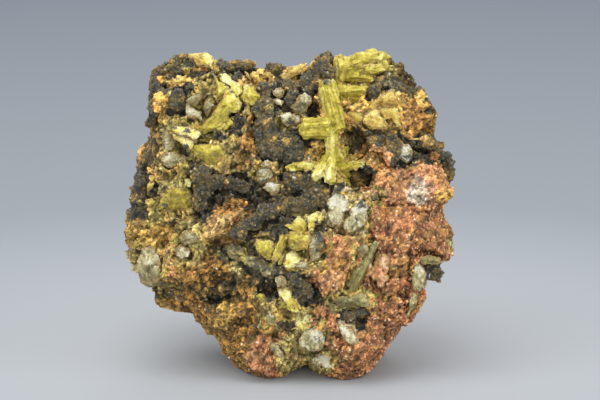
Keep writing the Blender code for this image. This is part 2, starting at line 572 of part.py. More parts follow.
def join_all(solids):
    """One solid of many that overlap."""
    whole = solids[0]
    for other in solids[1:]:
        boolean(whole, other, "UNION")
        remove(other)
    return whole


def paint(made, kind, roughness):
    """A plain material of its own for one object."""
    material = bpy.data.materials.new(made.name)
    material.use_nodes = True
    shader = material.node_tree.nodes["Principled BSDF"]
    shader.inputs["Base Color"].default_value = COLOURS[kind]
    shader.inputs["Roughness"].default_value = roughness
    made.data.materials.clear()
    made.data.materials.append(material)


def seat(name, solids_of, rows, surface, hosts, collections):
    """Builds a group, cuts its socket out of every host that it reaches, and returns the group."""
    parts, helpers = collections
    group = solids_of(name, rows, surface, helpers, 0.0)
    socket = solids_of(name + "_socket", rows, surface, helpers, SEAT_GAP)
    for host in hosts:
        boolean(host, socket, "DIFFERENCE")
    remove(socket)
    helpers.objects.unlink(group)
    parts.objects.link(group)
    bodies = largest_body(group)
    print(name, "bodies", bodies, "faces", len(group.data.polygons))
    return group


def clear_scene():
    """Removes whatever the scene holds."""
    for made in list(bpy.data.objects):
        bpy.data.objects.remove(made)


def main():
    clear_scene()
    parts = bpy.data.collections.new("pyromorphite_specimen")
    helpers = bpy.data.collections.new("helpers")
    for collection in (parts, helpers):
        bpy.context.scene.collection.children.link(collection)
    rock = make_rock(helpers, parts)
    surface = surface_of(rock)
    groups = [(crust_solids, name, rows) for name, rows in CRUSTS.items()]
    groups += [(crystal_solids, name, rows) for name, rows in CRYSTALS.items()]
    thin_rock(rock, groups, surface, helpers)
    hosts = [rock]
    for solids_of, name, rows in groups:
        group = seat(name, solids_of, rows, surface, hosts, (parts, helpers))
        paint(group, "crust" if solids_of is crust_solids else "crystal", 0.6)
        hosts.append(group)
    for host in hosts:
        bodies = largest_body(host)
        print("final", host.name, "bodies", bodies, "faces", len(host.data.polygons))
    paint(rock, "matrix", 0.9)


main()
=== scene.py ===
"""Dresses the pyromorphite specimen: rock, grains, dark crust, crystals and the studio round them.

Places are in millimetres on the upright layout plane through the middle of the rock, u to the right and
v upward, as seen along the line of sight, and are dropped onto the rock along that line.
"""

import json
import math
import random

import bmesh
import bpy
import numpy as np
from bpy.props import FloatProperty, FloatVectorProperty, PointerProperty
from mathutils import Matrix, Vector, noise
from mathutils.bvhtree import BVHTree


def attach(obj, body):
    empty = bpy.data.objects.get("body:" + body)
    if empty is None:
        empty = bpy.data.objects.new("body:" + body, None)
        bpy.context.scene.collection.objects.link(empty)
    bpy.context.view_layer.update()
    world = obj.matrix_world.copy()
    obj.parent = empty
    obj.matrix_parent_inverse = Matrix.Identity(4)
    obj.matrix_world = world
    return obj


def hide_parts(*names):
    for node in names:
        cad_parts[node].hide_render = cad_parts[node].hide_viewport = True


bl_info = {
    "name": "Pyromorphite specimen",
    "version": (1, 0, 0),
    "blender": (4, 5, 0),
    "location": "View3D > Sidebar > Specimen",
    "description": "Builds the rock, crust, crystals and studio of a pyromorphite specimen",
    "category": "Object",
}

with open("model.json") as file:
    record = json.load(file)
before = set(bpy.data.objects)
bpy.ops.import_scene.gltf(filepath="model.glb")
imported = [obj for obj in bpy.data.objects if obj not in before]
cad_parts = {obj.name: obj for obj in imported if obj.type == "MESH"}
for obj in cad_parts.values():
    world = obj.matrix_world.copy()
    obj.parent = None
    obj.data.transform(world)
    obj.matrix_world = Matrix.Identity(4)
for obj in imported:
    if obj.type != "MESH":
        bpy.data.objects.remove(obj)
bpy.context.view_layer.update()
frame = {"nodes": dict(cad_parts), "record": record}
NODES = frame["nodes"]

MM = 0.001
SIGHT_LIFT = math.radians(12)
SIGHT_DISTANCE = 600.0
ROCK_MIDDLE = Vector((0.6, 0.0, 36.4))
TOWARD = Vector((0.0, -math.cos(SIGHT_LIFT), math.sin(SIGHT_LIFT)))
RIGHT = Vector((1.0, 0.0, 0.0))
UP = TOWARD.cross(RIGHT)
EYE = ROCK_MIDDLE + TOWARD * SIGHT_DISTANCE
# Depths in front of the layout plane, in millimetres: where the rock's finer front starts, and where the
# rock is parted into its two pieces.
FRONT_DEPTH, PART_DEPTH = 1.0, 2.0
# Heights in millimetres: the lowest that relief reaches, and the lowest for what is scattered, so that the
# flat break stays clean.
LOWEST_RELIEF, LOWEST_GROWTH = 0.02, 0.8
# How thickly the back carries grains and beads, as a share of the front.
BACK_GRAINS, BACK_BEADS = 0.4, 0.35
# How far the rock is banked up round a block of crystal: the margin in millimetres, the reach as a share of
# the block's own reach, and the greatest height in millimetres.
BANK_MARGIN, BANK_REACH, BANK_HEIGHT = 1.2, 1.5, 2.2
# How far soft spots and coats reach, as a share of their own half width.
SOFT_REACH, COAT_REACH = 1.3, 1.2
# The crust's outline at the top left: heights v, and the least u at each.
CORNER_HEIGHTS, CORNER_LIMITS = (24.0, 27.0, 29.5, 31.5), (-36.0, -34.0, -32.6, -29.0)
# Seeds of the scattered growth, of the shapes, of the crystals and of noise vectors, which would follow the
# clock without one.
ROCK_SEED, CRUST_SEED, GRAIN_SEED, SPRIG_SEED, CRYSTAL_SEED, NOISE_SEED = 3, 15, 40, 70, 100, 1
noise.seed_set(NOISE_SEED)
# How far small crystals lean, how deep a crystal's axis lies under its face as a share of its width, how
# wide a block's dusty rim is in millimetres, and the least angle of a block's sharp edges.
SPRIG_LEAN, AXIS_INSET, RIM_WIDTH, SHARP_ANGLE = 0.5, 0.42, 1.1, math.radians(24)
# Lamps: name, place in metres, size in metres, share of the lamp power.
LAMPS = (
    ("overhead", (-0.25, -0.35, 0.95), 0.9, 0.84), ("left", (-0.9, -0.5, 0.45), 0.6, 0.16),
    ("right", (0.9, -0.4, 0.5), 0.6, 0.30), ("behind", (0.1, 0.9, 0.8), 0.8, 0.30),
    ("front", (0.15, -1.1, 0.16), 0.9, 0.75),
)

# Tones as they look in even light, red, green and blue from 0 to 255: the tone, the tone of its flecks, how
# much of it they take, and how much of it dark dust covers.
TONES = {
    "dark": ((57, 57, 49), (128, 105, 50), 0.3, 0.0),
    "umber": ((104, 87, 46), (72, 61, 36), 0.5, 0.4),
    "slate_olive": ((106, 102, 75), (150, 130, 78), 0.35, 0.25),
    "ochre": ((192, 151, 70), (136, 108, 54), 0.5, 0.35),
    "orange": ((204, 154, 82), (174, 116, 56), 0.4, 0.15),
    "tan": ((220, 184, 120), (184, 136, 76), 0.4, 0.25),
    "golden": ((222, 182, 96), (228, 178, 70), 0.4, 0.1),
    "brown": ((198, 144, 68), (132, 101, 48), 0.5, 0.35),
    "rust": ((146, 88, 52), (220, 178, 130), 0.28, 0.3),
    "pink": ((208, 156, 108), (188, 112, 66), 0.4, 0.2),
    "cream": ((232, 212, 172), (212, 168, 118), 0.35, 0.1),
    "white": ((222, 208, 188), (200, 164, 134), 0.45, 0.1),
    "salmon": ((212, 150, 100), (192, 126, 78), 0.2, 0.05),
    "olive": ((180, 166, 84), (136, 122, 62), 0.45, 0.3),
    "pale": ((198, 182, 118), (164, 148, 92), 0.4, 0.2),
}
# The two tones that each tone passes into here and there.
KIN = {
    "dark": ("dark", "umber"), "umber": ("dark", "ochre"), "slate_olive": ("dark", "olive"),
    "ochre": ("golden", "umber"), "orange": ("brown", "umber"), "tan": ("golden", "umber"),
    "golden": ("tan", "brown"), "brown": ("ochre", "umber"), "rust": ("orange", "salmon"),
    "pink": ("orange", "rust"), "cream": ("pink", "golden"), "white": ("cream", "pink"),
    "salmon": ("orange", "cream"), "olive": ("golden", "umber"), "pale": ("golden", "olive"),
}
# How thickly each tone is covered by grains, by beads of crust and by small crystals.
GRAIN_COVER = {
    "orange": 0.8, "tan": 0.6, "golden": 0.7, "brown": 0.5, "rust": 1.3, "pink": 1.3, "cream": 0.9,
    "white": 0.9, "salmon": 0.1, "olive": 0.3, "pale": 0.4, "slate_olive": 0.3, "dark": 0.3, "umber": 0.3,
    "ochre": 0.6,
}
BEAD_COVER = {"dark": 1.0, "slate_olive": 0.5, "umber": 0.3, "brown": 0.12, "olive": 0.15, "ochre": 0.06}
CRYSTAL_COVER = {"olive": 1.0, "golden": 0.25, "pale": 0.9, "cream": 0.15, "tan": 0.1, "ochre": 0.06}
# How much of the rock's fine relief each tone has, and how granular it is.
RELIEF = {"rust": 0.9, "pink": 0.8, "slate_olive": 0.6, "salmon": 0.4}
GRAININESS = {
    "rust": 1.0, "pink": 0.9, "cream": 0.7, "white": 0.6, "orange": 0.7, "golden": 0.7, "tan": 0.6,
    "brown": 0.55, "ochre": 0.55, "umber": 0.3, "olive": 0.4, "pale": 0.4,
}

# Patches of each tone: u, v, half width, half height.
PATCHES = {
    "dark": [
        (-32.2, 28.6, 2.7, 2.5), (-26.1, 31.3, 3.1, 1.6), (-32.6, 25.2, 1.1, 1.8),
        (-32.4, 21.2, 1.1, 1.8), (-33.8, 18.4, 1.1, 1.6), (-30.2, 24.5, 1.6, 1.4),
        (-28.1, 22.9, 2.2, 2.7), (-14.0, 29.2, 5.4, 2.2), (-5.4, 29.5, 3.1, 1.4), (5.6, 31.5, 2.7, 2.7),
        (2.2, 28.1, 2.9, 2.7), (1.8, 24.3, 1.6, 2.5), (-6.8, 23.6, 3.4, 3.4), (-7.9, 18.7, 2.5, 3.6),
        (-6.3, 13.1, 4.0, 3.8), (-1.8, 13.1, 3.4, 3.1), (-1.8, 23.4, 2.2, 2.5), (0.5, 20.2, 2.0, 2.2),
        (-12.4, 21.2, 1.1, 0.9), (-14.2, 17.8, 2.2, 2.0), (-19.6, 14.4, 2.0, 1.6),
        (-26.3, 10.8, 1.6, 1.1), (-35.3, 4.0, 1.6, 2.2), (-36.9, 6.5, 0.9, 1.1), (-33.8, 1.6, 1.6, 1.1),
        (-22.5, 2.9, 2.5, 5.0), (-15.8, 3.6, 5.4, 1.8), (-13.5, 1.4, 4.5, 1.6), (-6.3, -1.8, 5.0, 2.5),
        (0.5, 5.2, 3.8, 1.8), (4.0, 0.7, 4.0, 3.4), (-8.6, -7.0, 7.7, 1.8), (-3.4, -4.3, 3.1, 1.8),
        (-5.6, -20.5, 2.7, 2.5), (-1.1, -17.8, 1.8, 1.8), (0.7, -21.2, 2.7, 1.8), (4.5, -5.9, 1.6, 1.6),
        (19.1, 13.3, 3.6, 2.5), (23.6, 9.9, 3.1, 3.1), (18.9, 26.6, 2.0, 1.8), (16.0, 23.6, 1.4, 1.4),
        (28.8, 11.5, 3.1, 3.1), (25.9, 25.9, 1.1, 1.1), (29.5, 20.0, 1.4, 1.6), (29.9, -17.1, 3.1, 3.1),
        (12.4, -26.6, 2.5, 2.7), (12.4, 6.3, 4.3, 1.1), (-19.1, -22.1, 3.4, 1.4), (-25.4, 25.2, 1.4, 1.4),
        (-22.5, 28.6, 1.8, 0.9), (-36.5, -2.5, 1.6, 1.6), (-5.0, -15.3, 1.4, 1.1),
        (-2.9, -28.6, 1.4, 1.1), (-12.8, 21.3, 0.9, 0.7), (-29.7, 28.8, 1.4, 0.9),
        (-33.3, 24.8, 0.9, 1.6),
    ],
    "slate_olive": [
        (-10.1, -13.1, 6.5, 2.7), (-11.0, -30.6, 1.4, 0.8), (20.7, 26.1, 1.8, 1.6),
        (-17.6, 27.4, 1.8, 1.4), (-12.4, 29.2, 1.4, 0.9), (-3.4, 14.0, 2.2, 1.8), (-6.8, 20.2, 2.2, 1.8),
    ],
    "orange": [
        (-11.2, 17.8, 1.8, 3.1), (-11.5, 13.5, 1.4, 2.2), (-34.2, 20.2, 0.9, 1.8), (26.6, 18.9, 4.3, 4.0),
        (17.1, 10.3, 3.4, 3.1), (-14.2, -0.9, 2.2, 1.6), (-17.6, -1.8, 1.8, 1.4), (-30.7, -3.4, 1.1, 0.9),
        (-24.8, -16.2, 2.5, 1.8), (-6.8, -29.9, 2.0, 1.4), (9.0, -14.0, 2.0, 2.0), (10.1, -9.0, 1.8, 1.8),
        (31.7, 0.9, 1.4, 1.1), (12.4, 25.7, 2.7, 0.9),
    ],
    "tan": [
        (-30.8, 21.8, 1.8, 2.0), (-16.2, -6.1, 6.3, 2.5), (-30.2, -14.4, 2.2, 3.4),
        (-22.6, -14.8, 3.6, 1.6), (21.2, -15.1, 1.6, 2.5), (-19.6, 10.3, 3.6, 2.7),
        (-10.1, 27.0, 3.6, 2.2), (-7.9, 6.3, 2.2, 2.7), (10.1, 13.5, 2.2, 2.7), (1.1, -1.6, 0.7, 0.9),
        (16.9, 10.1, 2.7, 2.7), (0.0, -35.1, 1.8, 1.8), (-20.2, -7.2, 2.2, 1.1),
    ],
    "golden": [
        (28.1, 22.7, 1.4, 1.6), (-32.2, -9.2, 2.7, 1.6), (32.2, 0.9, 1.8, 1.6), (10.1, 24.3, 4.5, 5.4),
        (19.4, 20.7, 4.0, 4.5), (6.8, 7.9, 5.4, 2.9), (-2.7, -22.9, 2.5, 2.9), (-0.9, 28.8, 2.5, 1.8),
        (-22.1, 31.5, 2.9, 2.0), (-28.1, 26.6, 2.7, 1.4), (21.2, -15.3, 1.6, 1.6),
        (-31.1, 20.7, 1.6, 2.0), (11.7, -17.1, 1.8, 1.4), (5.4, -15.3, 1.1, 1.4),
        (-12.2, -23.9, 1.1, 0.9),
    ],
    "brown": [
        (29.8, 17.2, 2.2, 3.4), (14.4, 26.1, 2.7, 1.1), (-22.3, -16.0, 5.6, 3.1),
        (-13.5, -29.7, 5.9, 7.7), (-22.5, -25.2, 3.6, 2.7), (0.0, 18.0, 2.7, 1.4),
    ],
    "rust": [
        (-8.4, -33.2, 3.5, 5.0), (25.2, -8.1, 9.5, 7.2), (22.9, -19.1, 5.9, 6.3), (20.2, -27.4, 4.5, 5.9),
        (11.9, -34.2, 6.1, 5.0), (4.7, -26.1, 2.5, 2.0), (11.2, -36.0, 3.6, 2.7),
    ],
    "pink": [
        (9.9, -10.6, 4.5, 4.5), (7.2, -17.1, 4.0, 2.5), (25.7, 3.6, 8.6, 4.5), (-29.2, -14.0, 2.0, 3.1),
        (-9.0, -35.3, 3.1, 3.1), (21.4, -14.0, 1.8, 2.0), (-14.6, -5.0, 1.8, 1.4),
    ],
    "white": [
        (27.0, 2.2, 3.2, 3.6),
    ],
    "cream": [
        (10.8, -3.1, 4.5, 4.0), (11.0, -30.2, 2.2, 2.7), (-31.9, 22.5, 1.1, 1.4), (-15.1, -5.9, 1.6, 1.1),
        (25.9, 18.0, 0.9, 1.1),
    ],
    "salmon": [
        (18.0, -16.2, 1.8, 3.4),
    ],
    "olive": [
        (-33.0, -5.6, 2.2, 1.4), (-36.4, -9.4, 1.6, 1.8), (-24.8, 14.0, 5.6, 4.0),
        (-1.1, -10.3, 5.0, 4.5), (11.7, -22.5, 4.0, 1.8), (27.0, -16.2, 1.8, 3.1),
        (-20.7, 22.5, 3.1, 4.5), (-5.0, 17.6, 1.8, 1.8),
    ],
    "pale": [
        (-28.1, 0.0, 4.5, 3.1), (1.8, -3.1, 3.1, 2.2), (0.2, -27.0, 2.7, 2.2), (-34.9, -14.8, 2.7, 3.1),
        (-25.2, -12.2, 3.1, 3.4), (2.2, -32.2, 3.6, 3.4), (5.0, -36.2, 2.2, 2.2), (-33.5, -3.4, 1.1, 1.4),
        (-15.5, -15.3, 1.8, 1.8), (-3.8, -34.6, 3.1, 2.7), (34.2, -9.7, 1.1, 1.8), (27.7, -8.6, 2.0, 0.9),
        (22.1, 19.8, 1.8, 1.8),
    ],
    "umber": [
        (23.2, 30.0, 4.4, 2.9), (29.4, 22.6, 1.4, 2.6), (25.4, 24.6, 2.6, 1.6), (-9.0, -7.8, 4.0, 0.9),
        (-32.8, 13.6, 1.9, 2.8), (-32.2, 8.0, 2.2, 2.8), (-27.0, -4.0, 3.6, 2.0),
        (-17.6, -22.1, 4.5, 1.8), (-13.3, -27.2, 2.7, 0.8), (19.4, -22.3, 2.0, 1.4),
        (-32.6, 7.2, 1.8, 1.8), (-33.3, 11.9, 1.6, 1.4), (11.7, 13.5, 2.2, 2.7), (13.1, 5.0, 2.5, 1.8),
        (-31.5, -20.7, 3.1, 1.1), (-22.5, -19.8, 2.2, 0.9), (-15.3, -18.7, 3.1, 1.4),
        (-14.4, 9.9, 1.8, 0.9),
    ],
    "ochre": [
        (-34.6, -7.7, 5.2, 3.1), (-34.6, -7.2, 4.5, 2.5), (-16.7, -26.6, 3.6, 3.6),
        (-14.0, -31.5, 3.6, 2.2), (-21.2, -24.3, 1.8, 1.8), (0.0, 11.2, 1.4, 1.4),
    ],
}
# Small hollows in the rock: u, v, half width, half height, depth.
HOLLOWS = [
    (-20.7, 27.2, 1.2, 1.2, 2.2), (-30.9, 25.8, 1.3, 1.0, 1.6), (3.4, 20.4, 1.6, 2.4, 2.2),
    (11.2, 19.9, 0.8, 0.7, 1.6), (11.8, 26.8, 1.8, 0.9, 2.0), (-15.6, 10.6, 1.1, 0.5, 1.6),
    (-17.4, -9.8, 4.6, 0.7, 2.0), (-30.4, -9.8, 1.8, 0.9, 1.8), (-20.9, -14.2, 1.0, 0.7, 1.8),
    (-17.8, -15.2, 0.7, 0.4, 1.4), (-18.4, -17.6, 2.0, 0.7, 1.2), (-19.2, -22.3, 3.4, 0.9, 2.6),
    (-12.6, -28.0, 3.0, 0.5, 1.8), (-31.2, -19.0, 3.6, 0.6, 2.0), (24.6, -1.1, 0.8, 0.7, 1.8),
    (17.0, -17.2, 0.7, 2.4, 2.2), (28.2, -12.4, 2.8, 0.6, 2.0), (-9.0, -20.6, 1.4, 0.5, 1.6),
    (-26.6, 19.6, 0.9, 0.6, 1.4), (1.4, -23.6, 0.9, 0.7, 1.4), (19.2, -11.6, 0.7, 1.4, 1.4),
    (6.4, -26.4, 1.0, 0.6, 1.4), (-6.0, -30.6, 1.2, 0.5, 1.4), (22.4, -25.4, 0.8, 0.8, 1.4),
    (-20.5, 26.8, 0.9, 1.4, 2.5), (2.2, 19.8, 1.4, 1.8, 2.5), (11.7, 27.0, 2.0, 0.7, 2.0),
    (-13.3, -27.0, 2.7, 0.5, 1.6), (-30.4, -9.9, 1.4, 1.1, 2.2), (-16.9, -9.0, 3.6, 1.1, 2.4),
    (16.9, -17.1, 0.7, 2.2, 2.4), (-30.8, -19.8, 3.1, 0.5, 2.0), (28.4, -11.5, 2.7, 0.7, 2.2),
    (0.0, -18.7, 0.7, 0.9, 1.8),
]
# Rock that fills gaps under the crust: u, v, half width, half height, how far it is raised.
SWELLS = [
    (-15.2, 0.9, 4.8, 2.2, 2.8), (-1.8, 2.6, 2.6, 1.9, 2.9), (-18.6, -21.2, 4.2, 1.9, 2.2),
    (-7.3, -18.4, 2.6, 2.0, 2.4), (-19.0, -15.6, 2.2, 1.2, 1.2),
]
# Clefts between the lumps of granular rock: u, v, half width, half height, depth.
CLEFTS = [
    (17.5, 0.4, 2.4, 0.5, 2.4), (21.0, -1.2, 2.6, 0.45, 1.8), (25.6, -1.2, 2.0, 0.4, 1.4),
    (30.0, -2.4, 2.8, 0.45, 1.6), (15.6, -3.6, 0.5, 2.6, 2.0), (16.0, -8.4, 0.5, 2.4, 2.2),
    (16.8, -12.8, 0.5, 2.6, 2.6), (17.0, -18.0, 0.45, 2.2, 1.8), (24.8, -12.4, 0.5, 1.8, 2.2),
    (26.6, -12.6, 2.4, 0.5, 2.0), (24.6, -16.2, 0.45, 2.8, 1.8), (23.6, -21.0, 0.45, 2.4, 1.4),
    (21.2, -21.6, 2.6, 0.4, 1.3), (11.0, -25.2, 2.8, 0.4, 1.2), (-16.0, -12.2, 4.6, 0.4, 1.3),
]
# Where thick crust is worn through to the rock: u, v, half width, half height, the tone under it.
WORN = [
    (17.2, 9.3, 3.8, 2.9, "pink"), (30.2, 9.8, 1.0, 1.2, "pink"), (-31.4, 22.0, 1.6, 2.4, "golden"),
    (-30.6, 27.4, 1.2, 0.9, "golden"), (24.6, 28.0, 3.4, 3.6, "brown"), (21.6, 30.4, 2.2, 2.0, "tan"),
    (28.6, 13.4, 1.4, 1.4, "tan"), (-33.6, 3.2, 0.9, 1.6, "pale"), (-36.0, -0.2, 1.0, 1.3, "olive"),
    (-37.8, 1.5, 0.8, 2.2, "ochre"), (-35.8, 12.6, 0.8, 1.4, "ochre"), (-8.8, -7.4, 4.4, 1.0, "umber"),
]
# Where the silhouette is drawn in: u, v, half width, half height, how far along u and along v.
TRIMS = [
    (-28.5, -28.5, 5.2, 7.0, 0.0, 1.9), (28.8, 29.2, 6.2, 3.4, -2.0, -0.4),
    (28.4, 33.8, 6.5, 5.5, -2.0, -2.2),
]
# Where thick crust is darkest, with painted shade: u, v, half width, half height, how much darker.
PAINTED_CRUST_SHADE = [
    (-15.8, 3.0, 5.0, 2.0, 0.55), (19.1, 13.6, 3.2, 2.2, 0.3), (-12.0, 17.0, 2.0, 2.4, 0.3),
    (4.0, 29.4, 3.0, 2.4, 0.3), (28.8, 11.4, 3.0, 2.8, 0.3),
]
# Where crystals are paler, up their ramp of painted light, partly their own paler colour and partly painted
# light where they lie in shade: u, v, half width, half height.
PALE_SPOTS = [
    (6.6, 12.0, 3.2, 6.0), (5.8, 6.0, 4.5, 3.5), (-1.2, -13.4, 4.2, 3.4), (0.4, -27.0, 3.2, 3.6),
    (5.0, -36.0, 3.2, 2.6), (23.6, 10.8, 2.6, 2.8), (10.4, -29.8, 3.6, 4.2), (-25.6, 14.2, 3.6, 2.8),
    (-15.5, 26.2, 2.6, 2.2), (-26.8, 3.0, 1.8, 3.0), (-3.4, -22.0, 2.4, 2.4),
]
# Where crystals are duller: u, v, half width, half height.
DULL_SPOTS = [
    (2.8, 16.2, 3.4, 2.6), (-20.4, 10.2, 3.0, 2.2), (18.6, 20.0, 4.0, 3.6), (-28.6, 0.4, 2.4, 2.2),
]
# Patches of dark beads on the crystals: u, v, half width, half height.
COATS = [
    (-28.0, 29.4, 2.2, 1.3), (-25.2, 30.6, 2.2, 1.8), (-30.4, -1.2, 1.2, 0.9), (13.7, -1.4, 1.1, 1.4),
    (12.6, -4.5, 1.1, 0.9), (4.5, -9.2, 0.8, 1.0), (4.0, -11.2, 0.7, 0.7), (3.6, -5.0, 1.0, 0.7),
    (16.4, 0.0, 0.8, 0.7), (-25.4, 15.5, 1.0, 0.6), (-26.3, 11.9, 1.4, 0.6), (-12.6, 21.4, 0.9, 0.7),
    (-15.3, 19.4, 0.9, 0.7), (-2.0, 17.8, 1.6, 0.9), (0.0, -21.6, 1.4, 0.9), (0.0, -18.2, 0.9, 0.9),
    (4.0, -7.4, 0.9, 0.7), (5.9, 26.6, 1.1, 0.7), (24.3, 9.5, 1.4, 0.9), (22.5, 12.2, 0.7, 0.7),
    (-23.4, 17.6, 1.1, 0.7), (-28.8, 16.2, 1.1, 0.6), (-8.3, 4.5, 1.1, 0.7), (3.6, -31.5, 0.9, 0.7),
]
# Long crystals: root u, v, tip u, v, width, root and tip distance out of the rock, tip width share.
CRYSTALS = {
    "centre_cross": [
        (9.0, 15.6, 5.8, 27.0, 3.6, 2.2, 4.4, 0.78),
        (8.0, 15.0, 4.8, 26.2, 2.4, 1.6, 3.6, 0.6),
        (7.0, 8.8, 7.2, 16.8, 3.2, 0.2, 2.6, 0.9),
        (6.6, 16.4, 0.0, 15.8, 5.0, 1.6, 4.4, 0.86),
        (6.8, 9.6, 3.0, 4.6, 3.2, 0.2, 2.2, 0.6),
        (7.0, 9.6, 6.6, 3.8, 3.2, 0.2, 2.8, 0.7),
        (7.4, 9.6, 10.8, 5.0, 3.2, 0.2, 2.2, 0.6),
        (5.0, 7.8, -3.4, 7.4, 2.2, 0.0, 1.8, 0.4),
        (8.4, 7.4, 10.8, 12.2, 2.2, 0.2, 2.0, 0.5),
        (9.4, 7.0, 14.4, 8.8, 2.2, -0.2, 1.4, 0.6),
    ],
    "upright_behind_cross": [
        (8.2, 22.6, 8.4, 32.4, 2.2, -1.6, 1.0, 0.8),
        (7.6, 24.4, 15.0, 24.8, 3.0, -1.4, 2.2, 0.5),
    ],
    "top_right_bundle": [
        (9.0, 29.4, 19.6, 32.2, 3.4, -0.6, 2.2, 0.86),
        (9.2, 28.6, 18.2, 29.4, 3.0, -1.0, 2.4, 0.7),
        (8.6, 30.4, 17.2, 33.6, 2.4, -0.8, 1.2, 0.7),
        (10.8, 27.8, 16.4, 27.2, 2.4, -1.4, 1.8, 0.6),
    ],
    "green_prism_long": [
        (11.8, -20.6, 17.2, -9.2, 2.2, -0.4, 2.6, 0.7),
        (11.0, -19.4, 14.4, -13.6, 1.8, -1.0, 1.6, 0.6),
    ],
    "green_prism_low": [
        (7.6, -22.6, 15.6, -22.8, 2.4, -0.4, 1.8, 0.7),
        (8.0, -23.2, 13.6, -24.2, 1.8, -1.0, 1.2, 0.6),
    ],
}
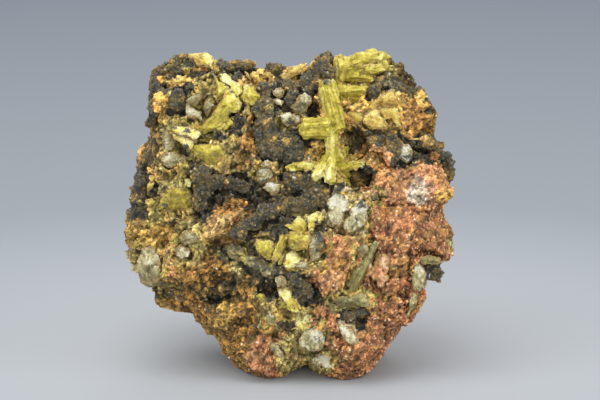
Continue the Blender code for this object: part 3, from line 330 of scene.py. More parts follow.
# Crystals that show as irregular blocks: painted lightness from -1 to 1, lighter for a face that catches
# the light and darker for a shaded one, relief, then u and v of the highest point and of each corner of the
# outline.
BLOCKS = {
    "upper_left_spray": [
        (0.1, 1.6, -16.0, 21.6, -16.0, 25.2, -13.6, 23.2, -13.1, 21.8, -13.8, 19.9, -15.8, 19.6, -16.0,
         17.7, -18.1, 15.8, -21.2, 15.1, -22.6, 16.0, -21.8, 17.0, -20.0, 19.0, -18.7, 20.9, -17.7, 22.5),
        (-0.6, 0.6, -18.2, 23.6, -19.6, 28.4, -18.1, 26.8, -15.8, 25.4, -17.3, 23.3, -18.4, 21.6, -19.0,
         22.5, -19.0, 25.2),
        (0.95, 1.2, -14.7, 25.5, -18.4, 28.4, -16.6, 28.4, -15.5, 27.2, -13.1, 25.9, -12.9, 24.4, -13.8,
         23.3, -15.5, 24.6, -15.7, 25.7, -17.7, 26.8),
        (0.35, 1.2, -11.4, 23.7, -13.1, 26.3, -11.9, 26.1, -10.4, 25.4, -10.1, 24.4, -9.0, 23.3, -9.1,
         22.4, -9.9, 21.1, -11.9, 21.4, -13.6, 22.9),
        (0.3, 0.8, -16.7, 17.1, -18.1, 17.3, -15.8, 18.4, -14.4, 18.9, -14.8, 17.3, -16.2, 15.8, -17.3,
         14.9, -18.7, 16.0),
    ],
    "left_pale_crystals": [
        (0.35, 1.0, -24.1, 19.4, -25.7, 21.8, -24.4, 20.9, -22.2, 19.9, -22.1, 17.7, -22.9, 18.3, -24.1,
         18.1, -25.7, 19.0),
        (-0.35, 0.8, -23.7, 22.8, -25.7, 22.3, -24.8, 23.1, -23.1, 23.9, -22.1, 24.3, -21.8, 23.3, -22.9,
         21.8, -24.6, 21.6),
        (0.6, 0.5, -21.8, 25.3, -22.4, 25.7, -21.3, 25.9, -21.1, 25.0, -22.2, 24.4),
        (-0.6, 0.8, -20.7, 21.2, -21.8, 20.7, -21.3, 22.5, -20.3, 22.7, -19.4, 21.4, -20.0, 19.8, -21.1,
         19.2),
    ],
    "top_left_crystals": [
        (-0.2, 1.0, -27.4, 29.6, -30.4, 29.9, -29.0, 31.0, -26.6, 31.9, -24.6, 32.0, -23.8, 30.6, -24.4,
         28.6, -27.0, 27.6, -29.2, 27.7),
        (0.5, 1.4, -21.8, 31.3, -25.2, 32.9, -22.9, 33.2, -21.1, 33.3, -19.8, 32.4, -19.2, 31.3, -19.4,
         29.5, -21.4, 29.7, -23.1, 30.2, -24.1, 31.3),
        (0.0, 0.8, -18.4, 29.2, -19.2, 31.3, -18.3, 30.4, -17.3, 28.5, -19.2, 28.4, -19.5, 29.7),
        (0.35, 0.9, -27.6, 26.7, -30.8, 26.7, -29.8, 26.8, -28.5, 27.2, -27.0, 27.6, -25.9, 27.8, -25.6,
         27.0, -26.7, 26.3, -27.6, 25.7, -28.9, 25.7),
        (0.7, 0.6, -29.4, 30.2, -30.2, 30.6, -29.5, 30.9, -28.7, 30.8, -28.8, 29.7, -29.7, 29.2),
        (0.2, 0.6, -29.6, 23.9, -30.5, 23.2, -29.0, 24.8, -28.9, 24.1, -29.9, 22.7),
    ],
    "top_golden_crystals": [
        (0.3, 1.0, -10.0, 27.7, -11.4, 28.0, -10.7, 29.1, -9.8, 29.0, -9.2, 27.7, -8.2, 26.7, -9.1, 26.0,
         -10.2, 26.3),
        (-0.3, 0.6, -11.7, 27.9, -12.4, 29.0, -11.7, 28.6, -11.1, 27.4, -11.0, 26.6, -11.8, 27.2),
        (0.2, 0.8, -7.4, 28.1, -8.8, 28.4, -7.7, 28.9, -6.8, 28.7, -6.1, 28.1, -6.3, 27.4, -7.7, 27.2,
         -8.6, 27.3),
    ],
    "top_golden_patch": [
        (0.35, 1.0, -0.7, 29.2, -2.7, 28.8, -1.6, 30.2, 0.0, 30.7, 1.8, 30.8, 0.9, 29.5, 0.0, 28.4, -1.1,
         27.7, -2.5, 27.2, -3.6, 27.2),
        (0.0, 0.6, -3.1, 27.7, -4.5, 27.9, -3.6, 28.6, -2.2, 27.9, -2.0, 27.0, -3.6, 26.7),
    ],
    "pale_crystals_below_spray": [
        (0.3, 0.8, -4.8, 24.1, -6.2, 24.6, -5.4, 25.2, -4.3, 25.1, -3.5, 24.2, -3.9, 23.3, -5.1, 22.9,
         -5.9, 23.5),
    ],
    "upper_centre_crystals": [
        (0.7, 0.5, -5.2, 21.9, -6.2, 22.6, -5.0, 22.8, -3.8, 22.3, -4.0, 20.9, -5.0, 21.3, -5.9, 21.8),
        (0.75, 1.0, -2.5, 18.7, -4.5, 19.1, -3.5, 19.7, -2.2, 19.8, -0.9, 19.1, 0.0, 18.9, -0.1, 16.9,
         -1.6, 17.1, -2.8, 16.5, -4.2, 17.6),
        (-0.2, 1.2, 0.7, 22.1, -2.2, 20.7, -1.1, 21.8, -0.2, 23.6, 0.9, 24.3, 2.0, 23.6, 2.8, 22.5, 2.0,
         21.2, 1.4, 19.6, 0.0, 18.9, -1.6, 19.7),
    ],
    "centre_cross": [
        (0.6, 0.5, 4.4, 26.6, 3.9, 27.4, 4.7, 26.9, 5.1, 26.0, 4.3, 25.4),
        (0.5, 0.5, 7.3, 26.4, 6.8, 26.8, 7.5, 27.1, 7.8, 25.9, 7.0, 25.7),
        (0.35, 0.8, 1.1, 7.7, -1.4, 8.3, 0.5, 8.8, 2.0, 8.9, 3.4, 8.1, 2.9, 6.8, 1.1, 6.3, -0.7, 7.2),
        (0.4, 0.4, -2.9, 8.2, -4.8, 8.9, -2.7, 8.7, -0.7, 8.1, -0.5, 7.4, -2.7, 7.7, -4.3, 8.2),
        (0.1, 0.9, 9.5, 9.5, 8.1, 12.2, 9.2, 11.5, 10.1, 9.5, 11.2, 7.2, 9.7, 6.8, 8.3, 8.3),
        (0.3, 0.6, 12.8, 7.8, 11.0, 7.2, 11.9, 8.2, 13.3, 8.8, 14.6, 8.7, 14.0, 7.4, 12.4, 6.6),
        (0.0, 0.6, 8.6, 4.0, 7.4, 5.0, 8.6, 5.2, 9.7, 5.0, 9.5, 3.4, 8.6, 2.5, 7.8, 3.4),
    ],
    "upright_behind_cross": [
        (0.0, 1.0, 11.0, 23.4, 8.6, 25.9, 10.6, 25.5, 12.6, 24.8, 14.2, 23.3, 14.0, 22.3, 12.4, 21.6, 10.6,
         20.5, 9.2, 19.8, 8.6, 22.5),
        (0.2, 0.6, 8.3, 28.1, 7.4, 29.2, 8.3, 30.4, 9.5, 29.7, 9.5, 26.1, 8.3, 25.7, 7.4, 26.6),
    ],
    "top_right_bundle": [
        (0.05, 1.4, 14.4, 31.6, 11.5, 32.2, 12.6, 33.2, 14.8, 33.4, 17.6, 33.4, 19.4, 33.1, 19.6, 31.9,
         18.2, 30.8, 15.3, 30.4, 12.6, 30.4, 11.2, 30.8),
        (-0.3, 1.4, 14.8, 29.5, 11.5, 30.4, 14.0, 30.4, 17.1, 30.6, 19.4, 31.5, 20.0, 30.2, 18.7, 28.8,
         16.2, 28.1, 13.5, 28.0, 11.7, 28.6),
        (0.1, 1.0, 10.1, 30.2, 8.6, 31.7, 10.1, 32.4, 11.6, 32.2, 11.7, 30.2, 11.9, 28.1, 10.6, 26.6, 9.5,
         26.1, 8.8, 28.4),
    ],
    "right_fringe": [
        (0.2, 1.4, 19.6, 22.7, 16.7, 22.3, 18.0, 23.7, 19.4, 23.9, 20.5, 24.9, 21.5, 24.8, 21.9, 22.9,
         22.3, 21.4, 20.7, 20.7, 18.9, 20.7, 17.3, 21.2),
        (0.85, 1.2, 20.2, 19.8, 17.6, 21.2, 19.1, 21.8, 20.7, 21.6, 22.3, 21.2, 22.7, 18.9, 22.7, 16.7,
         21.6, 16.4, 20.5, 18.0, 18.9, 18.0, 17.6, 19.6),
        (0.5, 1.2, 16.7, 17.8, 14.2, 19.6, 15.8, 20.2, 17.3, 20.5, 18.4, 18.7, 19.8, 17.1, 18.7, 16.0,
         16.4, 15.8, 15.1, 16.4, 14.2, 17.8),
        (0.1, 1.0, 17.1, 21.8, 15.3, 20.9, 16.9, 22.7, 18.2, 23.9, 18.9, 22.5, 17.8, 20.9, 16.2, 20.2),
        (0.1, 0.9, 12.6, 18.7, 10.6, 19.6, 12.4, 20.0, 14.2, 19.8, 14.2, 17.8, 12.8, 17.1, 11.2, 17.6),
    ],
    "left_middle_crystals": [
        (0.95, 1.0, -25.7, 15.3, -28.7, 16.2, -27.2, 16.6, -25.0, 16.4, -22.9, 15.7, -22.2, 14.9, -23.1,
         13.6, -24.8, 14.0, -26.7, 14.4, -28.5, 15.1),
        (0.6, 1.2, -26.1, 13.3, -28.9, 15.1, -26.8, 14.4, -24.8, 14.0, -23.2, 13.6, -23.9, 12.4, -24.6,
         11.4, -25.9, 12.1, -28.0, 13.6),
        (-0.25, 1.4, -20.5, 10.3, -23.9, 12.3, -22.9, 12.5, -20.0, 12.8, -16.6, 12.1, -16.6, 11.0, -17.7,
         9.5, -18.1, 8.0, -19.2, 7.1, -21.4, 8.2, -23.3, 9.7, -24.4, 11.2),
        (-0.7, 0.6, -20.0, 13.4, -22.9, 13.2, -21.3, 14.0, -19.4, 14.0, -17.3, 13.6, -16.7, 12.5, -20.0,
         12.7),
    ],
    "left_small_crystals": [
        (-0.1, 1.2, -29.1, 13.1, -30.8, 15.1, -29.5, 16.0, -28.7, 14.9, -27.6, 13.1, -28.0, 11.7, -29.5,
         10.6, -30.6, 11.0, -30.6, 13.1),
        (0.0, 1.2, -28.0, 9.0, -31.1, 9.7, -28.9, 10.8, -27.0, 10.4, -25.4, 9.5, -24.8, 8.9, -26.7, 7.8,
         -28.2, 7.1, -30.4, 7.3),
    ],
    "left_lower_crystals": [
        (0.6, 0.6, -27.0, 3.8, -27.7, 4.5, -26.8, 5.2, -26.1, 5.0, -26.3, 3.4, -27.0, 2.2, -27.7, 2.7),
        (0.95, 0.6, -25.4, 4.0, -26.1, 5.0, -24.8, 5.2, -24.3, 4.0, -25.0, 2.9, -25.9, 3.1),
        (0.8, 0.7, -27.0, 0.8, -27.8, 1.4, -27.3, 1.7, -26.6, 1.6, -26.2, 0.8, -26.8, 0.0, -27.6, 0.1),
        (-1.1, 1.2, -28.6, 0.0, -31.7, -0.7, -30.8, 1.1, -29.5, 2.5, -27.7, 2.7, -26.1, 2.2, -24.8, 1.1,
         -24.8, -0.9, -25.7, -2.2, -27.9, -1.8, -29.9, -2.5, -31.7, -2.2),
    ],
    "left_edge_orange_crystal": [
        (0.3, 0.7, -33.2, 4.7, -34.0, 5.4, -33.3, 5.6, -32.3, 4.8, -32.9, 3.7, -33.8, 4.0),
    ],
    "left_edge_green_crystals": [
        (0.0, 0.6, -33.8, 3.0, -34.4, 2.7, -33.8, 4.0, -32.9, 3.8, -33.1, 2.7, -34.2, 1.8),
        (-0.4, 0.8, -33.5, -0.7, -34.4, 0.2, -33.5, 0.5, -32.6, -0.2, -32.9, -1.6, -34.0, -1.8, -34.6,
         -0.9),
    ],
    "lower_left_crystal": [
        (0.05, 2.0, -34.4, -14.4, -36.5, -14.0, -35.3, -11.2, -34.2, -10.7, -32.6, -10.8, -31.9, -12.6,
         -31.7, -15.3, -31.5, -17.3, -32.6, -18.7, -34.9, -18.2, -36.2, -17.1, -36.8, -15.3),
        (-0.2, 0.8, -36.5, -11.8, -37.8, -11.0, -36.5, -10.0, -35.1, -11.0, -36.2, -13.1, -37.1, -13.7,
         -38.0, -12.8),
        (-0.2, 0.8, -32.9, -18.9, -36.2, -17.3, -33.8, -18.2, -31.5, -18.2, -28.8, -18.4, -27.9, -19.6,
         -30.4, -19.8, -33.3, -19.6, -35.3, -18.7),
    ],
    "lower_left_small_crystals": [
        (0.4, 1.0, -26.6, -11.4, -28.0, -11.0, -27.2, -10.1, -25.9, -10.3, -24.8, -11.5, -25.2, -12.8,
         -26.8, -13.3, -27.8, -12.6),
        (-0.1, 1.0, -25.0, -8.3, -27.0, -8.1, -25.9, -6.8, -24.1, -6.5, -22.9, -7.4, -22.5, -9.0, -24.1,
         -9.7, -25.9, -10.1, -26.8, -9.2),
    ],
    "centre_pale_crystals": [
        (0.1, 1.2, -8.1, 5.7, -9.9, 5.4, -9.5, 7.1, -8.3, 7.4, -6.8, 7.2, -6.2, 5.9, -6.8, 4.3, -8.6, 3.7,
         -9.8, 4.5),
        (0.2, 0.8, -7.7, 8.0, -9.0, 7.7, -8.1, 8.8, -7.2, 9.0, -6.3, 8.1, -6.5, 7.2, -8.3, 7.2),
        (-0.2, 1.0, -6.3, 2.5, -8.6, 2.6, -7.7, 3.6, -5.9, 4.2, -4.5, 3.6, -4.5, 2.0, -6.1, 0.7, -7.2, 1.6),
        (0.4, 0.4, -1.4, 4.8, -2.0, 5.0, -1.4, 5.4, -0.7, 5.0, -0.9, 4.3, -1.8, 4.3),
    ],
    "lower_centre_crystals": [
        (0.45, 1.4, -0.2, -5.6, -3.7, -5.7, -2.2, -5.2, -1.1, -4.0, 0.2, -3.6, 1.6, -4.3, 1.8, -6.1, 0.9,
         -7.7, 0.0, -8.0, -1.6, -7.0),
        (0.7, 1.0, 3.1, -4.6, 1.6, -3.8, 2.9, -2.9, 5.0, -2.9, 5.3, -4.3, 3.8, -5.6, 2.9, -6.8, 2.0, -6.8),
        (-0.45, 1.4, -0.7, -9.2, -3.0, -8.1, -2.5, -7.0, -0.7, -7.4, 0.9, -7.8, 2.0, -7.2, 2.1, -9.7, 1.6,
         -11.2, -0.2, -11.4, -2.2, -10.8),
        (0.25, 0.9, -4.7, -9.9, -5.6, -10.3, -4.7, -7.4, -3.8, -6.6, -2.9, -7.4, -3.4, -9.5, -4.0, -11.7,
         -5.2, -14.0, -6.1, -14.0, -6.1, -11.9),
        (0.95, 0.7, -4.3, -13.2, -5.1, -14.0, -4.3, -11.8, -3.3, -11.7, -3.6, -13.3, -4.4, -14.7, -5.0,
         -14.6),
        (0.75, 1.4, -1.6, -13.2, -3.6, -14.0, -2.9, -11.9, -2.0, -11.2, -0.5, -11.9, 1.1, -13.3, -0.2,
         -14.4, -1.6, -15.5, -3.1, -15.5, -3.8, -14.8),
        (0.0, 1.2, -7.7, -10.8, -10.3, -9.9, -9.7, -8.6, -8.3, -9.0, -6.5, -9.2, -5.9, -10.3, -6.3, -12.2,
         -6.5, -13.7, -8.1, -13.1, -9.5, -11.7),
    ],
    "spotted_slab": [
        (0.2, 1.0, 3.6, -9.7, 2.4, -7.9, 3.4, -7.4, 5.2, -7.7, 5.3, -9.7, 4.7, -11.2, 4.5, -13.3, 2.7,
         -14.0, 2.2, -11.7),
        (-0.3, 0.6, 0.7, -15.1, -0.7, -14.8, 0.2, -14.0, 1.8, -14.2, 2.0, -15.5, 0.5, -16.2),
    ],
    "pale_ridge_crystals": [
        (0.7, 1.4, 8.6, -1.4, 6.1, -0.9, 7.2, 1.1, 7.9, 2.7, 9.7, 2.2, 11.2, 0.5, 11.7, -1.1, 10.1, -2.7,
         9.7, -5.0, 7.2, -5.9, 6.3, -3.6),
        (0.1, 0.8, 6.8, -5.0, 5.9, -3.1, 7.4, -3.8, 8.8, -5.4, 7.7, -6.5, 5.9, -5.9),
        (0.9, 1.4, 12.8, -2.9, 11.7, -1.6, 12.6, 0.0, 14.0, 0.5, 15.3, -1.1, 15.1, -3.4, 14.4, -5.4, 12.8,
         -6.8, 11.0, -7.4, 9.9, -6.3, 9.7, -4.7, 11.2, -3.4),
        (0.1, 0.7, 16.4, 0.9, 15.5, 1.6, 16.4, 2.2, 17.6, 1.8, 17.6, 0.2, 16.4, -0.7, 15.6, 0.0),
        (0.35, 0.8, 14.0, -11.2, 12.4, -10.6, 13.5, -9.8, 15.1, -10.1, 15.5, -11.5, 14.4, -12.8, 12.8,
         -12.4),
    ],
    "glassy_crystal": [
        (0.3, 1.2, 23.6, 10.8, 21.9, 12.2, 22.9, 12.8, 24.3, 12.6, 25.4, 10.8, 25.0, 9.2, 23.9, 8.2, 22.3,
         9.5),
    ],
    "right_edge_pale_crystal": [
        (0.4, 1.4, 27.0, -17.1, 25.4, -14.0, 26.6, -13.7, 27.9, -15.3, 28.6, -17.6, 28.1, -19.8, 26.8,
         -20.7, 25.4, -20.2, 25.2, -17.1),
    ],
    "right_edge_green_crystal": [
        (0.0, 0.9, 29.2, -13.5, 26.8, -12.8, 28.8, -12.4, 30.8, -12.8, 32.2, -14.0, 30.8, -14.6, 28.8,
         -14.4, 27.2, -14.2),
    ],
    "right_lower_edge_crystal": [
        (0.3, 0.9, 25.4, -23.4, 24.5, -22.7, 25.4, -20.9, 26.6, -20.7, 26.6, -22.3, 25.7, -24.3, 24.5,
         -26.3, 24.0, -26.1),
    ],
    "salmon_plate": [
        (0.0, 1.0, 18.2, -16.0, 16.7, -15.1, 17.8, -12.8, 19.4, -12.6, 19.8, -14.8, 19.6, -17.8, 18.2,
         -19.8, 17.3, -18.0, 16.4, -16.7),
    ],
    "green_prism_low": [
        (0.1, 0.8, 13.5, -22.5, 11.2, -22.5, 11.9, -20.9, 14.0, -20.9, 15.3, -22.3, 15.8, -23.9, 14.0,
         -24.1, 12.4, -23.2),
        (-0.7, 0.6, 9.5, -22.7, 7.4, -22.7, 8.6, -21.6, 10.6, -21.6, 11.5, -22.5, 10.8, -23.6, 8.6, -23.9),
    ],
    "lower_yellow_crystals": [
        (0.65, 1.2, -2.9, -22.1, -5.1, -19.8, -3.6, -19.9, -1.8, -20.2, -1.8, -21.8, -0.5, -23.4, 0.0,
         -25.0, -1.4, -25.4, -2.9, -24.5, -3.8, -22.7, -4.7, -21.4),
        (0.55, 1.2, 0.5, -27.2, -1.1, -26.8, -0.5, -25.2, 0.7, -25.0, 2.2, -25.9, 2.0, -27.9, 0.9, -29.5,
         -0.5, -29.0, -1.2, -28.1),
        (0.0, 0.6, -8.7, -21.8, -9.7, -21.6, -9.0, -21.0, -7.7, -21.6, -8.1, -22.5, -9.2, -22.5),
    ],
    "lower_pale_crystals": [
        (-0.1, 0.9, -4.3, -18.3, -5.7, -17.6, -4.7, -16.9, -3.4, -17.3, -2.9, -18.9, -3.6, -19.8, -5.2,
         -19.6),
        (0.1, 1.2, -6.3, -26.3, -7.9, -26.1, -7.2, -24.8, -5.9, -24.4, -4.8, -25.4, -4.8, -27.2, -6.1,
         -28.4, -7.4, -27.7),
    ],
    "bottom_crystals": [
        (0.45, 1.4, 2.7, -30.8, -0.2, -31.5, 0.9, -29.2, 2.7, -28.4, 5.0, -28.8, 5.6, -30.8, 5.6, -32.6,
         4.0, -34.0, 1.8, -34.0, 0.0, -33.1),
        (0.95, 1.0, 5.0, -36.0, 2.2, -35.8, 4.0, -34.6, 6.1, -34.0, 7.0, -35.6, 7.2, -37.8, 5.4, -37.6, 3.1,
         -36.7),
    ],
    "bottom_left_crystal": [
        (0.3, 1.0, -5.4, -33.6, -7.0, -32.6, -6.1, -31.7, -4.5, -32.9, -3.6, -34.2, -4.3, -35.6, -5.6,
         -34.9, -6.8, -34.0),
    ],
    "pale_plate": [
        (0.9, 0.9, 10.6, -29.7, 8.2, -27.7, 9.0, -27.0, 10.3, -28.6, 11.7, -29.2, 13.1, -31.1, 12.4, -32.6,
         10.8, -32.2, 9.5, -30.6),
    ],
}


def linear(colour):
    """A colour from 0 to 255 as the linear values that shaders take."""
    share = np.asarray(colour, float) / 255
    return np.where(share <= 0.04045, share / 12.92, ((share + 0.055) / 1.055) ** 2.4)


def from_sight(u, v, w=0.0):
    """The point that shows at (u, v), w in front of the layout plane, in millimetres."""
    spread = (SIGHT_DISTANCE - w) / SIGHT_DISTANCE
    return ROCK_MIDDLE + RIGHT * (u * spread) + UP * (v * spread) + TOWARD * w


def to_sight(points):
    """Where points in millimetres show on the layout plane, and how far in front of it they are."""
    away = points - np.array(ROCK_MIDDLE)
    depth = away @ np.array(TOWARD)
    spread = (SIGHT_DISTANCE - depth) / SIGHT_DISTANCE
    return away @ np.array(RIGHT) / spread, away @ np.array(UP) / spread, depth


def points_of(mesh):
    """A mesh's points in millimetres."""
    points = np.zeros(len(mesh.vertices) * 3)
    mesh.vertices.foreach_get("co", points)
    return points.reshape(-1, 3) / MM


def normals_of(mesh):
    """A mesh's point normals."""
    normals = np.zeros(len(mesh.vertices) * 3)
    mesh.vertex_normals.foreach_get("vector", normals)
    return normals.reshape(-1, 3)


def set_points(mesh, points):
    """Moves a mesh's points to places in millimetres."""
    mesh.vertices.foreach_set("co", (points * MM).ravel())
    mesh.update()


def set_values(mesh, name, values):
    """Stores one number for each point of a mesh."""
    stored = mesh.attributes.get(name) or mesh.attributes.new(name, "FLOAT", "POINT")
    stored.data.foreach_set("value", np.asarray(values, np.float32))


def set_colours(mesh, name, colours):
    """Stores a linear colour for each point of a mesh."""
    stored = mesh.attributes.new(name, "FLOAT_COLOR", "POINT")
    full = np.ones((len(colours), 4), np.float32)
    full[:, :3] = colours
    stored.data.foreach_set("color", full.ravel())


def waves(points, scale, seed):
    """Smooth noise from -1 to 1 at points, its waves scale millimetres long."""
    shift = Vector((seed * 17.3, seed * 5.1, seed * 9.7))
    return np.array([noise.noise(Vector(point) / scale + shift) for point in points])


def drift(points, scale, seed):
    """Smooth random vectors at points, their waves scale millimetres long."""
    shift = Vector((seed * 3.7, seed * 11.9, seed * 7.3))
    return np.array([noise.noise_vector(Vector(point) / scale + shift) for point in points])


def steps(points, scale, seed):
    """Random heights from 0 to 1 that are level over small blocks, and the distance to a block's edge."""
    shift = Vector((seed * 2.3, seed * 13.1, seed * 4.9))
    heights, edges = np.zeros(len(points)), np.zeros(len(points))
    for i, point in enumerate(points):
        distances, middles = noise.voronoi(Vector(point) / scale + shift)
        heights[i] = noise.cell(middles[0] * 9.1 + shift)
        edges[i] = distances[1] - distances[0]
    return heights, edges


def apart(u, v, spot):
    """How far places lie from a spot's middle: 1 on its edge."""
    u0, v0, wide, high = spot[:4]
    return np.hypot((u - u0) / wide, (v - v0) / high)


def bowl(u, v, spot):
    """1 in a spot's middle, rounded down to 0 at its edge."""
    u0, v0, wide, high = spot[:4]
    return np.clip(1 - ((u - u0) / wide) ** 2 - ((v - v0) / high) ** 2, 0, None)


# Patches that lie over the ones round them.
BOLD = {"white": 3.0, "salmon": 2.0, "dark": 1.15}
TONE_NUMBER = {tone: number for number, tone in enumerate(TONES)}
# A patch still counts this far inside its edge, below 0 for outside, and only in front of this depth.
PATCH_REACH, PATCH_DEPTH = -0.7, -2.5


def plain_tones(points, u, v):
    """Tones where no patch lies: rusty on the lower right, and earthy elsewhere."""
    broad = waves(points, 9.0, 3) + 0.6 * waves(points, 3.0, 4)
    spots = waves(points, 4.0, 5) + 0.4 * waves(points, 1.4, 14)
    rusty = (u > 9 + 3 * spots) & (v < 8)
    plain = np.full(len(points), TONE_NUMBER["brown"])
    for limit, name in ((0.0, "ochre"), (0.22, "tan"), (0.42, "orange")):
        plain[broad > limit] = TONE_NUMBER[name]
    plain[broad < -0.3] = TONE_NUMBER["umber"]
    plain[rusty] = TONE_NUMBER["rust"]
    plain[rusty & (broad > 0.25)] = TONE_NUMBER["pink"]
    plain[spots > 0.42] = TONE_NUMBER["dark"]
    plain[spots < -0.45] = TONE_NUMBER["olive"]
    return plain


def tones_at(points):
    """The number of each point's tone: that of the patch it lies deepest in, or a plain one."""
    moved = points + drift(points, 4.0, 1) * 1.2 + drift(points, 1.3, 2) * 0.9
    moved = moved + drift(points, 0.5, 15) * 0.4
    u, v, depth = to_sight(moved)
    best, chosen = np.full(len(points), PATCH_REACH), np.full(len(points), -1)
    for tone, patches in PATCHES.items():
        for patch in patches:
            inside = 1 - apart(u, v, patch)
            inside = np.where(inside > 0, inside * BOLD.get(tone, 1.0), inside)
            better = inside > best
            best[better] = inside[better]
            chosen[better] = TONE_NUMBER[tone]
    behind = (chosen < 0) | (depth + 6.0 * waves(points, 4.0, 6) < PATCH_DEPTH)
    return np.where(behind, plain_tones(points, u, v), chosen)


def of_tones(tones, values, otherwise=0.0):
    """A value for each point, from its tone."""
    return np.array([values.get(name, otherwise) for name in TONES])[tones]


# Tones are stored a little lighter than they look, for the shade that their own relief throws.
BRIGHTNESS = 1.4


def store_tones(mesh, tones, points, shade):
    """Stores tones on a mesh, uneven from place to place, with their flecks and their dust, darkened by the
    painted shade that it is given.
    """
    # The shade is painted shade: darker in the rock's pits and hollows and on shaded thick crust, with some
    # random tone of the grains.
    uneven = BRIGHTNESS * shade * (1 + 0.18 * waves(points, 2.4, 12))
    warm = 1 + 0.08 * waves(points, 3.6, 13)
    tint = np.stack([warm, np.ones(len(warm)), 1 / warm], 1) * uneven[:, None]
    passing = 0.8 * waves(points, 2.6, 51) + 0.6 * waves(points, 1.1, 52)
    kin = np.array([[TONE_NUMBER[other] for other in KIN[tone]] for tone in TONES])[tones]
    for name, place in (("tone", 0), ("fleck", 1)):
        plain = linear([TONES[tone][place] for tone in TONES])
        colour = plain[tones]
        for side, share in ((0, passing), (1, -passing)):
            share = np.clip((share - 0.1) * 4, 0, 0.65)[:, None]
            colour = colour + share * (plain[kin[:, side]] - colour)
        set_colours(mesh, name, colour * tint)
    for name, place in (("fleck_share", 2), ("dust", 3)):
        set_values(mesh, name, np.array([TONES[tone][place] for tone in TONES])[tones])


def relaxed(points, mesh, rounds):
    """A mesh's points, evened out over their neighbours."""
    edges = np.zeros(len(mesh.edges) * 2, np.int64)
    mesh.edges.foreach_get("vertices", edges)
    first, second = edges.reshape(-1, 2).T
    count = np.bincount(edges, minlength=len(points))[:, None]
    for _ in range(rounds):
        total = np.zeros_like(points)
        for axis in range(3):
            total[:, axis] = np.bincount(first, points[second, axis], len(points))
            total[:, axis] += np.bincount(second, points[first, axis], len(points))
        points = (points + total / np.maximum(count, 1)) / 2
    return points


def store_ridges(mesh, rounds, reach):
    """Stores how far each point stands out from its surroundings: 1 at reach millimetres, -1 when sunk."""
    points = points_of(mesh)
    out = ((points - relaxed(points, mesh, rounds)) * normals_of(mesh)).sum(1)
    set_values(mesh, "ridge", np.clip(out / reach, -1, 1))


def new_piece(name, mesh):
    """An object for a mesh, in the scene."""
    piece = bpy.data.objects.new(name, mesh)
    bpy.context.scene.collection.objects.link(piece)
    return piece


def plain_mesh(piece):
    """Applies the piece's modifiers and leaves a plain mesh."""
    bpy.context.view_layer.update()
    graph = bpy.context.evaluated_depsgraph_get()
    mesh = bpy.data.meshes.new_from_object(piece.evaluated_get(graph))
    piece.modifiers.clear()
    piece.data = mesh
    return piece


def mesh_from(bm, name):
    """A new mesh from a bmesh, which it ends."""
    mesh = bpy.data.meshes.new(name)
    bm.to_mesh(mesh)
    bm.free()
    return mesh


def face_depth(face):
    """How far in front of the layout plane the middle of a bmesh's face is."""
    return (face.calc_center_median() / MM - ROCK_MIDDLE).dot(TOWARD)


def merged_copy(name, nodes):
    """One mesh of copies of CAD nodes, their loose triangles merged."""
    bm = bmesh.new()
    for node in nodes:
        bm.from_mesh(NODES[node].data)
    bmesh.ops.remove_doubles(bm, verts=bm.verts, dist=1e-6)
    return mesh_from(bm, name)


def refined(piece, voxel):
    """Remeshes the piece evenly, its points voxel millimetres apart."""
    fuse = piece.modifiers.new("even", "REMESH")
    fuse.mode = "VOXEL"
    fuse.voxel_size = voxel * MM
    fuse.use_smooth_shade = True
    return plain_mesh(piece)


def surface_of(mesh):
    """A mesh's surface in millimetres, for finding where things show on it."""
    points = [Vector(point) for point in points_of(mesh)]
    return BVHTree.FromPolygons(points, [tuple(face.vertices) for face in mesh.polygons])


def whole_surface():
    """The surface of all CAD nodes together."""
    return surface_of(merged_copy("all_nodes", sorted(NODES)))


def depth_on(surface, u, v):
    """How far in front of the layout plane a surface shows at (u, v), or None where it doesn't."""
    hit = surface.ray_cast(EYE, (from_sight(u, v) - EYE).normalized())[0]
    return None if hit is None else (hit - ROCK_MIDDLE).dot(TOWARD)


def ride(piece, slot, *nodes):
    """Fixes a finished piece to the specimen in place of nodes, which it hides. The slot is not used."""
    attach(piece, "root")
    if nodes:
        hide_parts(*nodes)
    return piece


# Materials


def feed(tree, socket, value):
    """Links a socket to a node's input, or gives the input a value."""
    if isinstance(value, bpy.types.NodeSocket):
        tree.links.new(value, socket)
    else:
        socket.default_value = value


def new_node(tree, kind, inputs=(), **values):
    """A node with its values set, and its inputs linked or filled by name or number."""
    made = tree.nodes.new(kind)
    for name, value in values.items():
        setattr(made, name, value)
    for name, value in dict(inputs).items():
        feed(tree, made.inputs[name], value)
    return made


